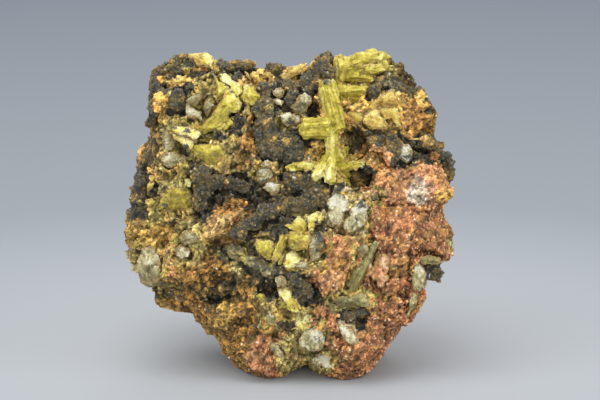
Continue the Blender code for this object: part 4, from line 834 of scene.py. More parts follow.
class Nodes:
    """A material with its shader, and short ways to add nodes to it."""

    def __init__(self, name, roughness, ior=1.5):
        self.material = bpy.data.materials.new(name)
        self.material.use_nodes = True
        self.tree = self.material.node_tree
        self.shader = self.tree.nodes["Principled BSDF"]
        self.shader.inputs["Roughness"].default_value = roughness
        self.shader.inputs["IOR"].default_value = ior

    def add(self, kind, inputs=(), **values):
        """A node of the material."""
        return new_node(self.tree, kind, inputs, **values)

    def link(self, start, end):
        self.tree.links.new(start, end)

    def place(self):
        """Object coordinates."""
        return self.add("ShaderNodeTexCoord").outputs["Object"]

    def stored(self, name, output="Color"):
        """A stored attribute."""
        return self.add("ShaderNodeAttribute", attribute_name=name).outputs[output]

    def noise(self, where, per_metre, detail=3.0, roughness=0.6):
        """Noise of a given fineness."""
        inputs = {"Scale": per_metre, "Detail": detail, "Roughness": roughness, "Vector": where}
        return self.add("ShaderNodeTexNoise", inputs).outputs["Fac"]

    def clouds(self, where, per_metre, detail, roughness, low, high):
        """Noise moved to the range from low to high."""
        return self.spread(self.noise(where, per_metre, detail, roughness), 0.3, 0.7, low, high)

    def spread(self, value, low, high, to_low=0.0, to_high=1.0):
        """A value moved from one range to another."""
        inputs = {"From Min": low, "From Max": high, "To Min": to_low, "To Max": to_high, "Value": value}
        return self.add("ShaderNodeMapRange", inputs).outputs["Result"]

    def ramp(self, value, *stops):
        """A colour for a value, from stops of place and colour in 0 to 255."""
        made = self.add("ShaderNodeValToRGB")
        slots = made.color_ramp.elements
        while len(slots) < len(stops):
            slots.new(0.5)
        for slot, (place, colour) in zip(slots, stops):
            slot.position = place
            slot.color = (*linear(colour), 1.0)
        self.link(value, made.inputs["Fac"])
        return made.outputs["Color"]

    def mix(self, first, second, share, blend="MIX"):
        """Two colours mixed by a share, which is a socket or a number."""
        made = self.add("ShaderNodeMix", data_type="RGBA", blend_type=blend)
        ends = [socket for socket in made.inputs if socket.type == "RGBA"]
        for value, socket in ((first, ends[0]), (second, ends[1]), (share, made.inputs[0])):
            feed(self.tree, socket, (*linear(value), 1.0) if isinstance(value, tuple) else value)
        return next(socket for socket in made.outputs if socket.type == "RGBA")

    def scaled(self, colour, value):
        """A colour made lighter or darker by a value."""
        inputs = {0: colour, "Scale": value}
        return self.add("ShaderNodeVectorMath", inputs, operation="SCALE").outputs["Vector"]

    def bump(self, height, millimetres, strength=1.0):
        """Fine relief on the shader."""
        inputs = {"Distance": millimetres * MM, "Strength": strength, "Height": height}
        made = self.add("ShaderNodeBump", inputs)
        self.link(made.outputs["Normal"], self.shader.inputs["Normal"])

    def glow(self, weight, radius):
        """Light that scatters under the surface, radius in millimetres."""
        self.shader.inputs["Subsurface Weight"].default_value = weight
        self.shader.inputs["Subsurface Radius"].default_value = radius
        self.shader.inputs["Subsurface Scale"].default_value = MM

    def paint(self, colour, roughness=None):
        """Gives the shader its colour, and its roughness where that varies."""
        self.link(colour, self.shader.inputs["Base Color"])
        if roughness is not None:
            self.link(roughness, self.shader.inputs["Roughness"])

    def total(self, *values):
        """The sum of sockets."""
        so_far = values[0]
        for value in values[1:]:
            so_far = self.add("ShaderNodeMath", {0: so_far, 1: value}, operation="ADD").outputs[0]
        return so_far


# The colour of dark dust, from 0 to 255.
DUST = (62, 61, 57)


def speckled(made, where, fleck_size, contrast):
    """The stored tone with its flecks and dark dust, mottled, with painted light on ridges and painted
    shade in gaps and tiny holes.
    """
    # Painted light and shade: the tone is darker in gaps and lighter on ridges.
    raised = made.spread(made.stored("ridge", "Fac"), -0.7, 0.7, 0.5, 1.35)
    mottle = made.clouds(where, 1900, 6, 0.75, 1 - contrast, 1 + contrast)
    share = made.spread(made.stored("fleck_share", "Fac"), 0.0, 1.0, 0.0, 0.22)
    flecks = made.spread(made.total(share, made.noise(where, fleck_size, 5, 0.7)), 0.60, 0.67)
    tone = made.mix(made.stored("tone"), made.stored("fleck"), flecks)
    amount = made.spread(made.stored("dust", "Fac"), 0.0, 1.0, -0.05, 0.17)
    dust = made.spread(made.total(amount, made.noise(where, 420, 8, 0.72)), 0.60, 0.66, 0.0, 0.9)
    tone = made.mix(tone, DUST, dust)
    tone = made.scaled(made.scaled(tone, mottle), raised)
    # Painted shade of tiny holes: near-black spots.
    painted_pore_shade = made.spread(made.noise(where, 1900, 4), 0.63, 0.70, 0.0, 0.65)
    return made.mix(tone, (30, 24, 17), painted_pore_shade)


def rock_material():
    """Earthy matrix: its stored tone, flecks and dark dust, with painted shade of tiny holes and a few
    painted glints.
    """
    made = Nodes("matrix_earthy", 0.85)
    where = made.place()
    # Painted glints: a few bright cream points.
    painted_glints = made.spread(made.noise(where, 2600, 2), 0.68, 0.72, 0.0, 0.7)
    tone = made.mix(speckled(made, where, 1250, 0.6), (232, 214, 180), painted_glints)
    made.paint(tone, made.spread(made.noise(where, 1900, 2), 0.35, 0.65, 0.95, 0.45))
    made.bump(made.noise(where, 2400, 8, 0.75), 0.5)
    return made.material


def grain_material(name, shine, flecked):
    """Small grains: each its own shade of the tone that it grew on, a share of them flecks, some clear."""
    made = Nodes(name, 0.5, 1.55)
    where = made.place()
    chance = made.stored("chance", "Fac")
    flecks = made.spread(chance, 0.62, 0.66, 0.0, flecked)
    tone = made.mix(made.stored("tone"), made.stored("fleck"), flecks)
    tone = made.scaled(tone, made.spread(made.stored("gloss", "Fac"), 0.0, 1.0, 1.3, 0.72))
    tone = made.scaled(tone, made.clouds(where, 3000, 3, 0.6, 0.7, 1.3))
    clear = made.spread(chance, 0.95, 0.97, 0.0, shine)
    tone = made.mix(tone, (236, 222, 196), clear)
    made.paint(tone, made.spread(made.stored("gloss", "Fac"), 0.0, 1.0, 0.14, 0.8))
    made.glow(0.1, (0.6, 0.45, 0.3))
    made.bump(made.noise(where, 4000, 3), 0.08)
    return made.material


def crust_material():
    """Velvety dark crust: grey knobs, with ochre dust between them."""
    made = Nodes("dark_velvet_crust", 0.7)
    where = made.place()
    tone = speckled(made, where, 1700, 0.5)
    low = made.total(made.stored("ridge", "Fac"), made.clouds(where, 700, 5, 0.7, -0.9, 0.9))
    tone = made.mix(tone, (126, 102, 56), made.spread(low, -0.35, -0.85, 0.0, 0.65))
    made.paint(tone, made.spread(made.noise(where, 1600, 3), 0.35, 0.65, 0.4, 0.9))
    made.bump(made.noise(where, 3200, 7, 0.75), 0.4)
    return made.material


def crystal_material(name, shadow, body, light, palest, glassy, uneven, roughness=0.28):
    """Translucent crystal: its shade clouded and drawn out in growth lines, pale where it catches light."""
    made = Nodes(name, roughness, 1.7)
    where = made.place()
    inputs = {"Scale": (1.0, 1.0, 0.16), "Vector": made.stored("growth", "Vector")}
    lines = made.add("ShaderNodeMapping", inputs).outputs["Vector"]
    # Where each point lies on the ramp: its height along the crystal and the clouds are its own colour. The
    # stored light is painted light, and the ridge term paints light on edges and shade in creases.
    value = made.total(
        made.spread(made.stored("height", "Fac"), 0.0, 1.0, 0.4, 0.58),
        made.spread(made.stored("light", "Fac"), -1.0, 1.5, -0.34, 0.51),
        made.clouds(where, 480, 6, 0.66, -0.25 * uneven, 0.25 * uneven),
        made.clouds(where, 1500, 4, 0.7, -0.12 * uneven, 0.12 * uneven),
        made.spread(made.stored("ridge", "Fac"), -0.8, 0.8, -0.2, 0.24),
        made.clouds(lines, 2.2, 5, 0.7, -0.18, 0.18),
    )
    tone = made.ramp(value, (0.0, shadow), (0.45, body), (0.82, light), (1.0, palest))
    stain = made.spread(made.noise(where, 330, 6, 0.72), 0.56, 0.68, 0.0, 0.6)
    tone = made.mix(tone, (196, 146, 70), stain)
    dust = made.spread(made.noise(where, 1100, 6, 0.75), 0.62, 0.68, 0.0, 0.6)
    tone = made.mix(tone, shadow, dust)
    earth = made.total(made.stored("rim", "Fac"), made.clouds(where, 900, 6, 0.75, -0.75, 0.75))
    spots = made.noise(where, 1900, 4, 0.7)
    soil = made.ramp(spots, (0.35, (84, 70, 44)), (0.5, (168, 130, 70)), (0.65, (214, 178, 110)))
    tone = made.mix(tone, soil, made.spread(earth, 0.88 - 0.16 * uneven, 1.11 - 0.16 * uneven, 0.0, 0.9))
    coat = made.total(made.stored("coat", "Fac"), made.clouds(where, 1100, 5, 0.75, -0.8, 0.8))
    tone = made.mix(tone, DUST, made.spread(coat, 0.3, 0.6, 0.0, 0.95))
    made.paint(tone, made.clouds(where, 1200, 3, 0.6, roughness * 0.5, roughness * 2.2))
    made.glow(0.4, (1.0, 0.85, 0.3))
    made.shader.inputs["Transmission Weight"].default_value = glassy
    made.bump(made.total(made.noise(where, 2400, 6, 0.75), made.noise(lines, 3.0, 4, 0.7)), 0.3)
    return made.material


def small_crystal_material():
    """Small translucent crystals, each its own shade of the tone that it grew on."""
    made = Nodes("small_crystals", 0.3, 1.7)
    where = made.place()
    chance = made.stored("chance", "Fac")
    own = made.ramp(chance, (0.0, (140, 122, 58)), (0.5, (188, 164, 76)), (1.0, (214, 194, 116)))
    tone = made.mix(made.stored("tone"), own, 0.55)
    tone = made.scaled(tone, made.spread(made.stored("gloss", "Fac"), 0.0, 1.0, 0.65, 1.25))
    tone = made.scaled(tone, made.clouds(where, 1400, 5, 0.6, 0.65, 1.25))
    made.paint(tone)
    made.glow(0.25, (1.2, 1.0, 0.4))
    made.bump(made.noise(where, 3000, 4), 0.1)
    return made.material


def backdrop_material(near, middle, far, reach):
    """Matt paper with painted light: pale near the specimen and greyer away from it."""
    made = Nodes("studio_paper", 0.9)
    length = made.add("ShaderNodeVectorMath", {0: made.place()}, operation="LENGTH")
    share = made.spread(length.outputs["Value"], 0.0, reach)
    grain = made.spread(made.noise(made.place(), 60, 2), 0.0, 1.0, 0.0, 0.004)
    tone = made.ramp(made.total(share, grain), (0.0, near), (0.28, middle), (1.0, far))
    made.paint(tone)
    made.shader.inputs["Specular IOR Level"].default_value = 0.1
    return made.material


# Scattering with Geometry Nodes


def shapes_collection(name, meshes):
    """A collection of small shapes to scatter, kept out of the scene."""
    shapes = bpy.data.collections.new(name)
    for mesh in meshes:
        shapes.objects.link(bpy.data.objects.new(mesh.name, mesh))
    return shapes


def scatter_tree(name, upright):
    """Scatters shapes over a surface where its 'cover' is high, upright on it or turned at random."""
    tree = bpy.data.node_groups.new(name, "GeometryNodeTree")
    face = tree.interface
    for label, kind in (
        ("Surface", "Geometry"), ("Shapes", "Collection"), ("Density", "Float"), ("Least size", "Float"),
        ("Largest size", "Float"), ("Lean", "Float"), ("Seed", "Int"), ("Finish", "Material"),
    ):
        face.new_socket(label, in_out="INPUT", socket_type="NodeSocket" + kind)
    face.new_socket("Pieces", in_out="OUTPUT", socket_type="NodeSocketGeometry")
    given = new_node(tree, "NodeGroupInput").outputs

    def chance(kind, low, high, shift):
        """A random value for each point, with a seed of its own."""
        seed = new_node(tree, "ShaderNodeMath", {0: given["Seed"], 1: shift}).outputs[0]
        made = new_node(tree, "FunctionNodeRandomValue", data_type=kind)
        live = [socket for socket in made.inputs if socket.enabled]
        for socket, value in zip((*live[:2], made.inputs["Seed"]), (low, high, seed)):
            feed(tree, socket, value)
        return next(socket for socket in made.outputs if socket.enabled)

    cover = new_node(tree, "GeometryNodeInputNamedAttribute", {"Name": "cover"}, data_type="FLOAT")
    density = {0: cover.outputs["Attribute"], 1: given["Density"]}
    density = new_node(tree, "ShaderNodeMath", density, operation="MULTIPLY").outputs[0]
    spots = new_node(tree, "GeometryNodeDistributePointsOnFaces", {
        "Mesh": given["Surface"], "Density": density, "Seed": given["Seed"],
    }).outputs
    shapes = new_node(tree, "GeometryNodeCollectionInfo", {
        "Separate Children": True, "Reset Children": True, "Collection": given["Shapes"],
    }).outputs[0]
    if upright:
        lean = {0: chance("FLOAT_VECTOR", (-1.0, -1.0, -3.0), (1.0, 1.0, 3.0), 5), "Scale": given["Lean"]}
        euler = new_node(tree, "ShaderNodeVectorMath", lean, operation="SCALE").outputs["Vector"]
    else:
        euler = chance("FLOAT_VECTOR", (0.0,) * 3, (math.tau,) * 3, 5)
    rotation = new_node(tree, "FunctionNodeEulerToRotation", {"Euler": euler}).outputs["Rotation"]
    if upright:
        rotation = new_node(tree, "FunctionNodeRotateRotation", {
            "Rotation": spots["Rotation"], "Rotate By": rotation,
        }, rotation_space="LOCAL").outputs["Rotation"]
    last = new_node(tree, "GeometryNodeInstanceOnPoints", {
        "Points": spots["Points"], "Instance": shapes, "Pick Instance": True,
        "Instance Index": chance("INT", 0, 99, 7), "Rotation": rotation,
        "Scale": chance("FLOAT", given["Least size"], given["Largest size"], 9),
    }).outputs["Instances"]
    for label, shift in (("chance", 11), ("gloss", 13)):
        store = {"Geometry": last, "Name": label, "Value": chance("FLOAT", 0.0, 1.0, shift)}
        last = new_node(
            tree, "GeometryNodeStoreNamedAttribute", store, data_type="FLOAT", domain="INSTANCE"
        ).outputs["Geometry"]
    last = new_node(tree, "GeometryNodeRealizeInstances", {"Geometry": last}).outputs["Geometry"]
    finish = {"Geometry": last, "Material": given["Finish"]}
    last = new_node(tree, "GeometryNodeSetMaterial", finish).outputs["Geometry"]
    new_node(tree, "NodeGroupOutput", {0: last})
    return tree


def scatter(name, surface, tree, shapes, density, sizes, seed, finish):
    """A piece of shapes scattered over a surface mesh, as one plain mesh."""
    values = {
        "Shapes": shapes, "Density": density / MM**2, "Least size": sizes[0], "Largest size": sizes[1],
        "Lean": SPRIG_LEAN, "Seed": seed, "Finish": finish,
    }
    piece = new_piece(name, surface)
    step = piece.modifiers.new("scatter", "NODES")
    step.node_group = tree
    for item in tree.interface.items_tree:
        if item.item_type == "SOCKET" and item.in_out == "INPUT" and item.name in values:
            step[item.identifier] = values[item.name]
    return plain_mesh(piece)


def shape_mesh(name, fill, smooth):
    """A small shape about a millimetre across."""
    bm = bmesh.new()
    fill(bm)
    bmesh.ops.recalc_face_normals(bm, faces=bm.faces)
    bmesh.ops.scale(bm, vec=(MM, MM, MM), verts=bm.verts)
    mesh = mesh_from(bm, name)
    if smooth:
        mesh.shade_smooth()
    return mesh


def grain_shapes():
    """Angular grains: knocked-about blocks and lumps."""
    made = []
    for i in range(6):
        rng = random.Random(GRAIN_SEED + i)

        def fill(bm):
            if i % 2:
                bmesh.ops.create_icosphere(bm, subdivisions=1, radius=0.62)
            else:
                bmesh.ops.create_cube(bm, size=0.95)
            for vert in bm.verts:
                vert.co *= rng.uniform(0.75, 1.2)
            stretch = (rng.uniform(0.8, 1.25), rng.uniform(0.75, 1.1), rng.uniform(0.7, 1.0))
            bmesh.ops.scale(bm, vec=stretch, verts=bm.verts)

        made.append(shape_mesh(f"grain_{i}", fill, False))
    return made


def bead_shapes():
    """Round beads of crust, a little uneven."""
    made = []
    for i in range(4):

        def fill(bm):
            bmesh.ops.create_cube(bm, size=1.0)
            bmesh.ops.subdivide_edges(bm, edges=bm.edges, cuts=1, use_grid_fill=True)
            for vert in bm.verts:
                vert.co = vert.co.normalized() * 0.5
                vert.co *= 1 + 0.3 * noise.noise(vert.co * 2.4 + Vector((i * 7.0, 0.0, 0.0)))

        made.append(shape_mesh(f"bead_{i}", fill, True))
    return made


def sprig_shapes():
    """Short six-sided crystals that stand on their root."""
    made = []
    forms = ((1.5, 0.8, 0.75), (1.2, 0.9, 0.85), (1.9, 0.7, 0.6), (1.0, 1.0, 0.9))
    for i, (long, wide, tip) in enumerate(forms):
        rng = random.Random(SPRIG_SEED + i)

        def fill(bm):
            bmesh.ops.create_cone(
                bm, cap_ends=True, segments=6, radius1=wide / 2, radius2=wide / 2 * tip, depth=long
            )
            bmesh.ops.translate(bm, vec=(0.0, 0.0, long * 0.15), verts=bm.verts)
            top = max(bm.faces, key=lambda face: face.calc_center_median().z)
            bmesh.ops.inset_region(bm, faces=[top], thickness=wide * tip * 0.14)
            bmesh.ops.translate(bm, verts=top.verts, vec=(0.0, 0.0, wide * 0.12))
            for vert in bm.verts:
                vert.co.x *= rng.uniform(0.85, 1.1)
                vert.co.y *= rng.uniform(0.85, 1.1)

        made.append(shape_mesh(f"sprig_{i}", fill, False))
    return made


# The rock


# Crystals with no small growth round them.
BARE_ROUND = {
    "salmon_plate", "right_edge_green_crystal", "right_edge_pale_crystal", "right_lower_edge_crystal",
    "green_prism_long", "pale_plate", "bottom_left_crystal",
}
# Crystals with golden growth round them. Round the others it is yellow and pale.
GOLDEN_NODES = (
    "top_left_crystals", "top_golden_crystals", "top_golden_patch", "right_fringe",
    "left_edge_orange_crystal",
)


def finer_front(mesh):
    """Halves the faces that show from the front."""
    bm = bmesh.new()
    bm.from_mesh(mesh)
    for face in bm.faces:
        if face_depth(face) > FRONT_DEPTH and face.normal.dot(TOWARD) > 0.05:
            for edge in face.edges:
                edge.tag = True
    edges = [edge for edge in bm.edges if edge.tag]
    bmesh.ops.subdivide_edges(bm, edges=edges, cuts=1, use_grid_fill=True)
    bm.to_mesh(mesh)
    bm.free()


def domes(points, scale):
    """Round knobs about scale millimetres across: 1 on their tops, 0 between them."""
    nearest = np.array([noise.voronoi(Vector(point) / scale)[0][0] for point in points])
    return np.sqrt(np.clip(1 - (nearest * 1.25) ** 2, 0, None))


def trimmed(points):
    """Draws the silhouette in where a lump would stand out too far."""
    u, v, depth = to_sight(points)
    for *spot, aside, upward in TRIMS:
        points = points + np.outer(bowl(u, v, spot), aside * RIGHT + upward * UP)
    return points


def sink_hollows(points, normals):
    """Pushes small hollows into the rock's face."""
    u, v, depth = to_sight(points + drift(points, 1.2, 54) * 0.9)
    facing = normals @ np.array(TOWARD)
    push = np.zeros(len(points))
    for *spot, deep in HOLLOWS + CLEFTS:
        push = np.maximum(push, 0.8 * deep * np.sqrt(bowl(u, v, spot)))
    for *spot, tall in SWELLS:
        push -= tall * np.sqrt(bowl(u, v, spot))
    push *= (facing > 0.1) & (depth > 0)
    return points - np.outer(push, TOWARD), push


def within_outline(u, v, corners):
    """Whether places lie within an outline."""
    inside = np.zeros(len(u), bool)
    for (u0, v0), (u1, v1) in zip(corners, corners[1:] + corners[:1]):
        if v0 != v1:
            edge = u0 + (v - v0) / (v1 - v0) * (u1 - u0)
            inside ^= ((v0 > v) != (v1 > v)) & (u < edge)
    return inside


def outline_of(block):
    """The corners of a block's outline."""
    numbers = block[4:]
    return list(zip(numbers[::2], numbers[1::2]))


def all_blocks():
    """Every block with its node."""
    return [(node, block) for node, blocks in BLOCKS.items() for block in blocks]


def bank_up(points, normals, whole):
    """Raises the rock round the blocks of crystal that it holds, and sinks it behind them.

    Gives the moved points, 1 where a block covers the rock, and where small growth surrounds a block: 1 by
    a yellow or pale one, 2 by a golden one."""
    u, v, depth = to_sight(points)
    raised, covered, fringe = np.zeros(len(points)), np.zeros(len(points)), np.zeros(len(points))
    ragged = waves(points, 1.5, 25)
    open_to_view = (depth > -2) & (normals @ np.array(TOWARD) > 0.35)
    for node, block in all_blocks():
        corners = outline_of(block)
        (least_u, least_v), (most_u, most_v) = np.min(corners, 0), np.max(corners, 0)
        middle_u, middle_v = (least_u + most_u) / 2, (least_v + most_v) / 2
        wide, high = (most_u - least_u) / 2, (most_v - least_v) / 2
        away = apart(u, v, (middle_u, middle_v, wide + BANK_MARGIN, high + BANK_MARGIN))
        near = np.flatnonzero((away < BANK_REACH) & open_to_view)
        if not len(near):
            continue
        top = depth_on(whole, middle_u, middle_v) or 0.0
        bank = np.clip((BANK_REACH - away[near]) / 0.5, 0, 1)
        target = top - 0.06 * block[1]
        raised[near] = np.maximum(raised[near], bank * np.clip(target - depth[near], 0, BANK_HEIGHT))
        shrunk = 0.78 + 0.16 * ragged[near]
        across, above = middle_u + (u[near] - middle_u) / shrunk, middle_v + (v[near] - middle_v) / shrunk
        inside = near[within_outline(across, above, corners)]
        covered[inside] = 1
        if node in BARE_ROUND:
            continue
        growing = near[(away[near] + 0.5 * ragged[near] < 1.2) & (np.abs(depth[near] - top) < 5)]
        fringe[growing] = 2 if node in GOLDEN_NODES else 1
    return points + np.outer(raised, TOWARD), covered, fringe


def rough_rock(mesh, whole, relief):
    """Gives the even rock its ledges, lumps, broken blocks, pits and grain, and stores its tones, with
    painted shade in its pits and hollows.
    """
    normals = normals_of(mesh)
    points, covered, fringe = bank_up(points_of(mesh), normals, whole)
    tones = tones_at(points)
    speckle = waves(points, 0.9, 26)
    crusted = np.isin(tones, [TONE_NUMBER["dark"], TONE_NUMBER["slate_olive"]])
    for kind, choices in ((1, ("olive", "pale")), (2, ("golden", "tan"))):
        grown = (fringe == kind) & (speckle > -0.12) & ~crusted
        tones[grown] = TONE_NUMBER[choices[0]]
        tones[grown & (speckle > 0.22)] = TONE_NUMBER[choices[1]]
    high = of_tones(tones, RELIEF, 1.0)
    blocks, edges = steps(points + drift(points, 2.0, 8) * 0.6, 2.6, 7)
    small, small_edges = steps(points + drift(points, 0.8, 16) * 0.3, 1.2, 9)
    grain, grain_edges = steps(points, 0.6, 17)
    along = points @ np.array([[0.2, 0.0, 0.05], [0.0, 0.45, 0.0], [0.18, 0.0, 1.0]])
    granular = of_tones(tones, GRAININESS)
    calm = 1 - 0.7 * granular
    lift = 0.6 * waves(points, 3.2, 10) * calm + 0.7 * waves(along, 1.7, 18) * (points[:, 0] < 9)
    lift += 0.8 * (blocks - 0.5) * np.clip(edges * 6, 0, 1) * calm
    lift += 0.5 * (small - 0.5) * np.clip(small_edges * 6, 0, 1) * calm
    lift += 0.26 * (grain - 0.5) * np.clip(grain_edges * 5, 0, 1) * calm + 0.14 * waves(points, 0.42, 19)
    lumps = domes(points + drift(points, 3.0, 53), 5.0)
    lift += granular * (0.22 * domes(points, 0.7) - 0.14 + 0.8 * (lumps - 0.6))
    lift += crusted * (0.5 * domes(points, 1.6) + 0.3 * domes(points, 0.7) - 0.5)
    pits = np.clip(waves(points, 2.1, 11) - 0.22, 0, None) * calm
    small_pits = np.clip(waves(points, 0.9, 20) - 0.3, 0, None) * calm
    lift -= 2.2 * pits + 0.9 * small_pits
    lift -= 0.9 * covered
    edgewise = normals @ np.array(TOWARD) < 0.4
    lift = np.where(edgewise, np.maximum(lift, -0.4), lift)
    points = points + normals * (lift * high * relief)[:, None]
    points, sunk = sink_hollows(points, normals)
    points = trimmed(points)
    points[:, 2] = np.maximum(points[:, 2], LOWEST_RELIEF)
    set_points(mesh, points)
    # Painted shade: darker in pits and sunk hollows, then varied at random by the grains and small blocks.
    # Where it stays light, the rock is bare for what is scattered.
    shade = np.clip(1 - 1.1 * pits - 0.7 * small_pits - 0.15 * np.clip(sunk, 0, None), 0.2, 1.0)
    shade = shade * (1 + 0.35 * (grain - 0.5) + 0.3 * (small - 0.5))
    store_tones(mesh, tones, points, shade)
    store_ridges(mesh, 5, 0.35)
    return tones, np.clip((shade - 0.5) * 2, 0, 1) * (1 - covered)


def parted(mesh, name, front):
    """The part of a mesh that lies in front, or behind."""
    bm = bmesh.new()
    bm.from_mesh(mesh)
    away = [face for face in bm.faces if (face_depth(face) > PART_DEPTH) != front]
    bmesh.ops.delete(bm, geom=away, context="FACES")
    made = mesh_from(bm, name)
    made.materials.append(mesh.materials[0])
    made.shade_smooth()
    return made


class StageSettings(bpy.types.PropertyGroup):
    """The studio round the specimen."""

    lamp_power: FloatProperty(
        name="Lamp power", description="Power that the lamps share, in watts", default=8.8
    )
    fill: FloatProperty(name="Fill light", description="Strength of the light all round", default=0.9)
    # The paper's colours paint its light: a pale pool at the specimen, greyer behind it and at the back.
    near: FloatVectorProperty(
        name="Paper near", description="Paper at the specimen, 0 to 255", default=(170, 173, 176)
    )
    middle: FloatVectorProperty(
        name="Paper middle", description="Paper behind the specimen, 0 to 255", default=(133, 139, 145)
    )
    far: FloatVectorProperty(
        name="Paper far", description="Paper at the back, 0 to 255", default=(116, 122, 131)
    )


class RockSettings(bpy.types.PropertyGroup):
    """The rock and its grains."""

    point_spacing: FloatProperty(
        name="Point spacing", description="Distance between the rock's points, in millimetres", default=0.68
    )
    relief: FloatProperty(name="Relief", description="Height of the fine relief", default=1.0)
    grain_density: FloatProperty(
        name="Grain density", description="Grains on a square millimetre", default=2.3
    )
    least_grain: FloatProperty(
        name="Least grain", description="Smallest grain, in millimetres", default=0.2
    )
    largest_grain: FloatProperty(
        name="Largest grain", description="Largest grain, in millimetres", default=0.58
    )


class CrustSettings(bpy.types.PropertyGroup):
    """The dark botryoidal crust."""

    bead_density: FloatProperty(
        name="Bead density", description="Beads on a square millimetre", default=1.0
    )
    least_bead: FloatProperty(name="Least bead", description="Smallest bead, in millimetres", default=0.25)
    largest_bead: FloatProperty(
        name="Largest bead", description="Largest bead, in millimetres", default=0.85
    )
    point_spacing: FloatProperty(
        name="Point spacing", description="Distance between its points, in millimetres", default=0.25
    )


class CrystalSettings(bpy.types.PropertyGroup):
    """The crystals."""

    point_spacing: FloatProperty(
        name="Point spacing", description="Distance between their points, in millimetres", default=0.2
    )
    small_density: FloatProperty(
        name="Small crystals", description="Small crystals on a square millimetre", default=0.32
    )
    least_small: FloatProperty(
        name="Least small crystal", description="Size of the smallest small crystals", default=0.4
    )
    largest_small: FloatProperty(
        name="Largest small crystal", description="Size of the largest small crystals", default=0.9
    )


def settings():
    """The scene's settings."""
    return bpy.context.scene.specimen


class SPECIMEN_OT_stage(bpy.types.Operator):
    """Makes the paper, the lamps and the camera"""

    bl_idname = "specimen.stage"
    bl_label = "Studio"

    def execute(self, context):
        chosen = settings().stage
        scene = context.scene
        scene.view_settings.view_transform = "Standard"
        bpy.ops.mesh.primitive_circle_add(vertices=96, radius=4.0, fill_type="NGON")
        paper = context.object
        paper.name = "studio_paper"
        paper.data.materials.append(backdrop_material(chosen.near, chosen.middle, chosen.far, 0.62))
        for name, place, size, power in LAMPS:
            lamp = bpy.data.lights.new(name, "AREA")
            lamp.energy = chosen.lamp_power * power
            lamp.size = size
            holder = bpy.data.objects.new(name, lamp)
            scene.collection.objects.link(holder)
            holder.location = place
            aim = Vector((0.0, 0.0, 0.035)) - holder.location
            holder.rotation_euler = aim.to_track_quat("-Z", "Y").to_euler()
        world = bpy.data.worlds.new("studio")
        scene.world = world
        world.use_nodes = True
        sky = world.node_tree.nodes["Background"]
        sky.inputs["Color"].default_value = (0.97, 0.98, 1.0, 1.0)
        sky.inputs["Strength"].default_value = chosen.fill
        camera = bpy.data.cameras.new("camera")
        camera.sensor_width = 36.0
        camera.lens = 160.0
        camera.clip_start = 0.01
        holder = bpy.data.objects.new("camera", camera)
        scene.collection.objects.link(holder)
        holder.location = EYE * MM
        holder.rotation_euler = (-TOWARD).to_track_quat("-Z", "Y").to_euler()
        scene.camera = holder
        return {"FINISHED"}


class SPECIMEN_OT_rock(bpy.types.Operator):
    """Makes the rock, its grains and the beads of crust and small crystals on it"""

    bl_idname = "specimen.rock"
    bl_label = "Rock and what is scattered on it"

    def execute(self, context):
        chosen = settings()
        whole = new_piece("matrix_rock", merged_copy("matrix_rock", ["matrix"]))
        refined(whole, chosen.rock.point_spacing)
        finer_front(whole.data)
        tones, bare = rough_rock(whole.data, whole_surface(), chosen.rock.relief)
        whole.data.materials.append(rock_material())
        front = to_sight(points_of(whole.data))[2] > FRONT_DEPTH
        everything = whole.data
        whole.data = parted(everything, "matrix_rock", True)
        ride(whole, "matrix_rock", "matrix")
        back = new_piece("matrix_rock_back", parted(everything, "matrix_rock_back", False))
        ride(back, "matrix_rock")
        grains = shapes_collection("grain_shapes", grain_shapes())
        beads = shapes_collection("bead_shapes", bead_shapes())
        sprigs = shapes_collection("sprig_shapes", sprig_shapes())
        loose, standing = scatter_tree("scatter_loose", False), scatter_tree("scatter_standing", True)
        bare *= points_of(everything)[:, 2] > LOWEST_GROWTH
        grain_cover = of_tones(tones, GRAIN_COVER) * bare
        bead_cover = of_tones(tones, BEAD_COVER) * bare * np.where(front, 1.0, BACK_BEADS)
        small_cover = of_tones(tones, CRYSTAL_COVER) * front * bare
        grain_sizes = (chosen.rock.least_grain, chosen.rock.largest_grain)
        bead_sizes = (chosen.crust.least_bead, chosen.crust.largest_bead)
        small_sizes = (chosen.crystals.least_small, chosen.crystals.largest_small)
        earthy, dusky = grain_material("matrix_grains", 0.8, 0.85), grain_material("crust_beads", 0.3, 0.3)
        for name, slot, cover, tree, shapes, density, sizes, finish in (
            ("grains_front", "matrix_rock", grain_cover * front, loose, grains,
             chosen.rock.grain_density, grain_sizes, earthy),
            ("grains_back", "matrix_rock", grain_cover * ~front * BACK_GRAINS, loose, grains,
             chosen.rock.grain_density, grain_sizes, earthy),
            ("crust_beads", "dark_crust", bead_cover, loose, beads,
             chosen.crust.bead_density, bead_sizes, dusky),
            ("small_crystals", "yellow_green_crystal", small_cover, standing, sprigs,
             chosen.crystals.small_density, small_sizes, small_crystal_material()),
        ):
            surface = everything.copy()
            set_values(surface, "cover", cover)
            ride(scatter(name, surface, tree, shapes, density, sizes, ROCK_SEED, finish), slot)
        return {"FINISHED"}


def knobbly(mesh):
    """Swells a crust's surface into round knobs of two sizes."""
    set_points(mesh, relaxed(points_of(mesh), mesh, 8))
    points, normals = points_of(mesh), normals_of(mesh)
    moved = points + drift(points, 1.5, 23) * 0.5
    lift = 0.8 * domes(moved, 1.7) + 0.42 * domes(moved, 0.75) + 0.25 * waves(points, 0.5, 21) - 0.95
    lift += 0.4 * waves(points, 2.4, 24)
    points = points + normals * lift[:, None]
    u, v, depth = to_sight(points)
    rounded = np.interp(v, CORNER_HEIGHTS, CORNER_LIMITS) + waves(points, 1.2, 56)
    points[:, 0] += np.clip(rounded - u, 0, None)
    set_points(mesh, trimmed(points))
    mesh.shade_smooth()


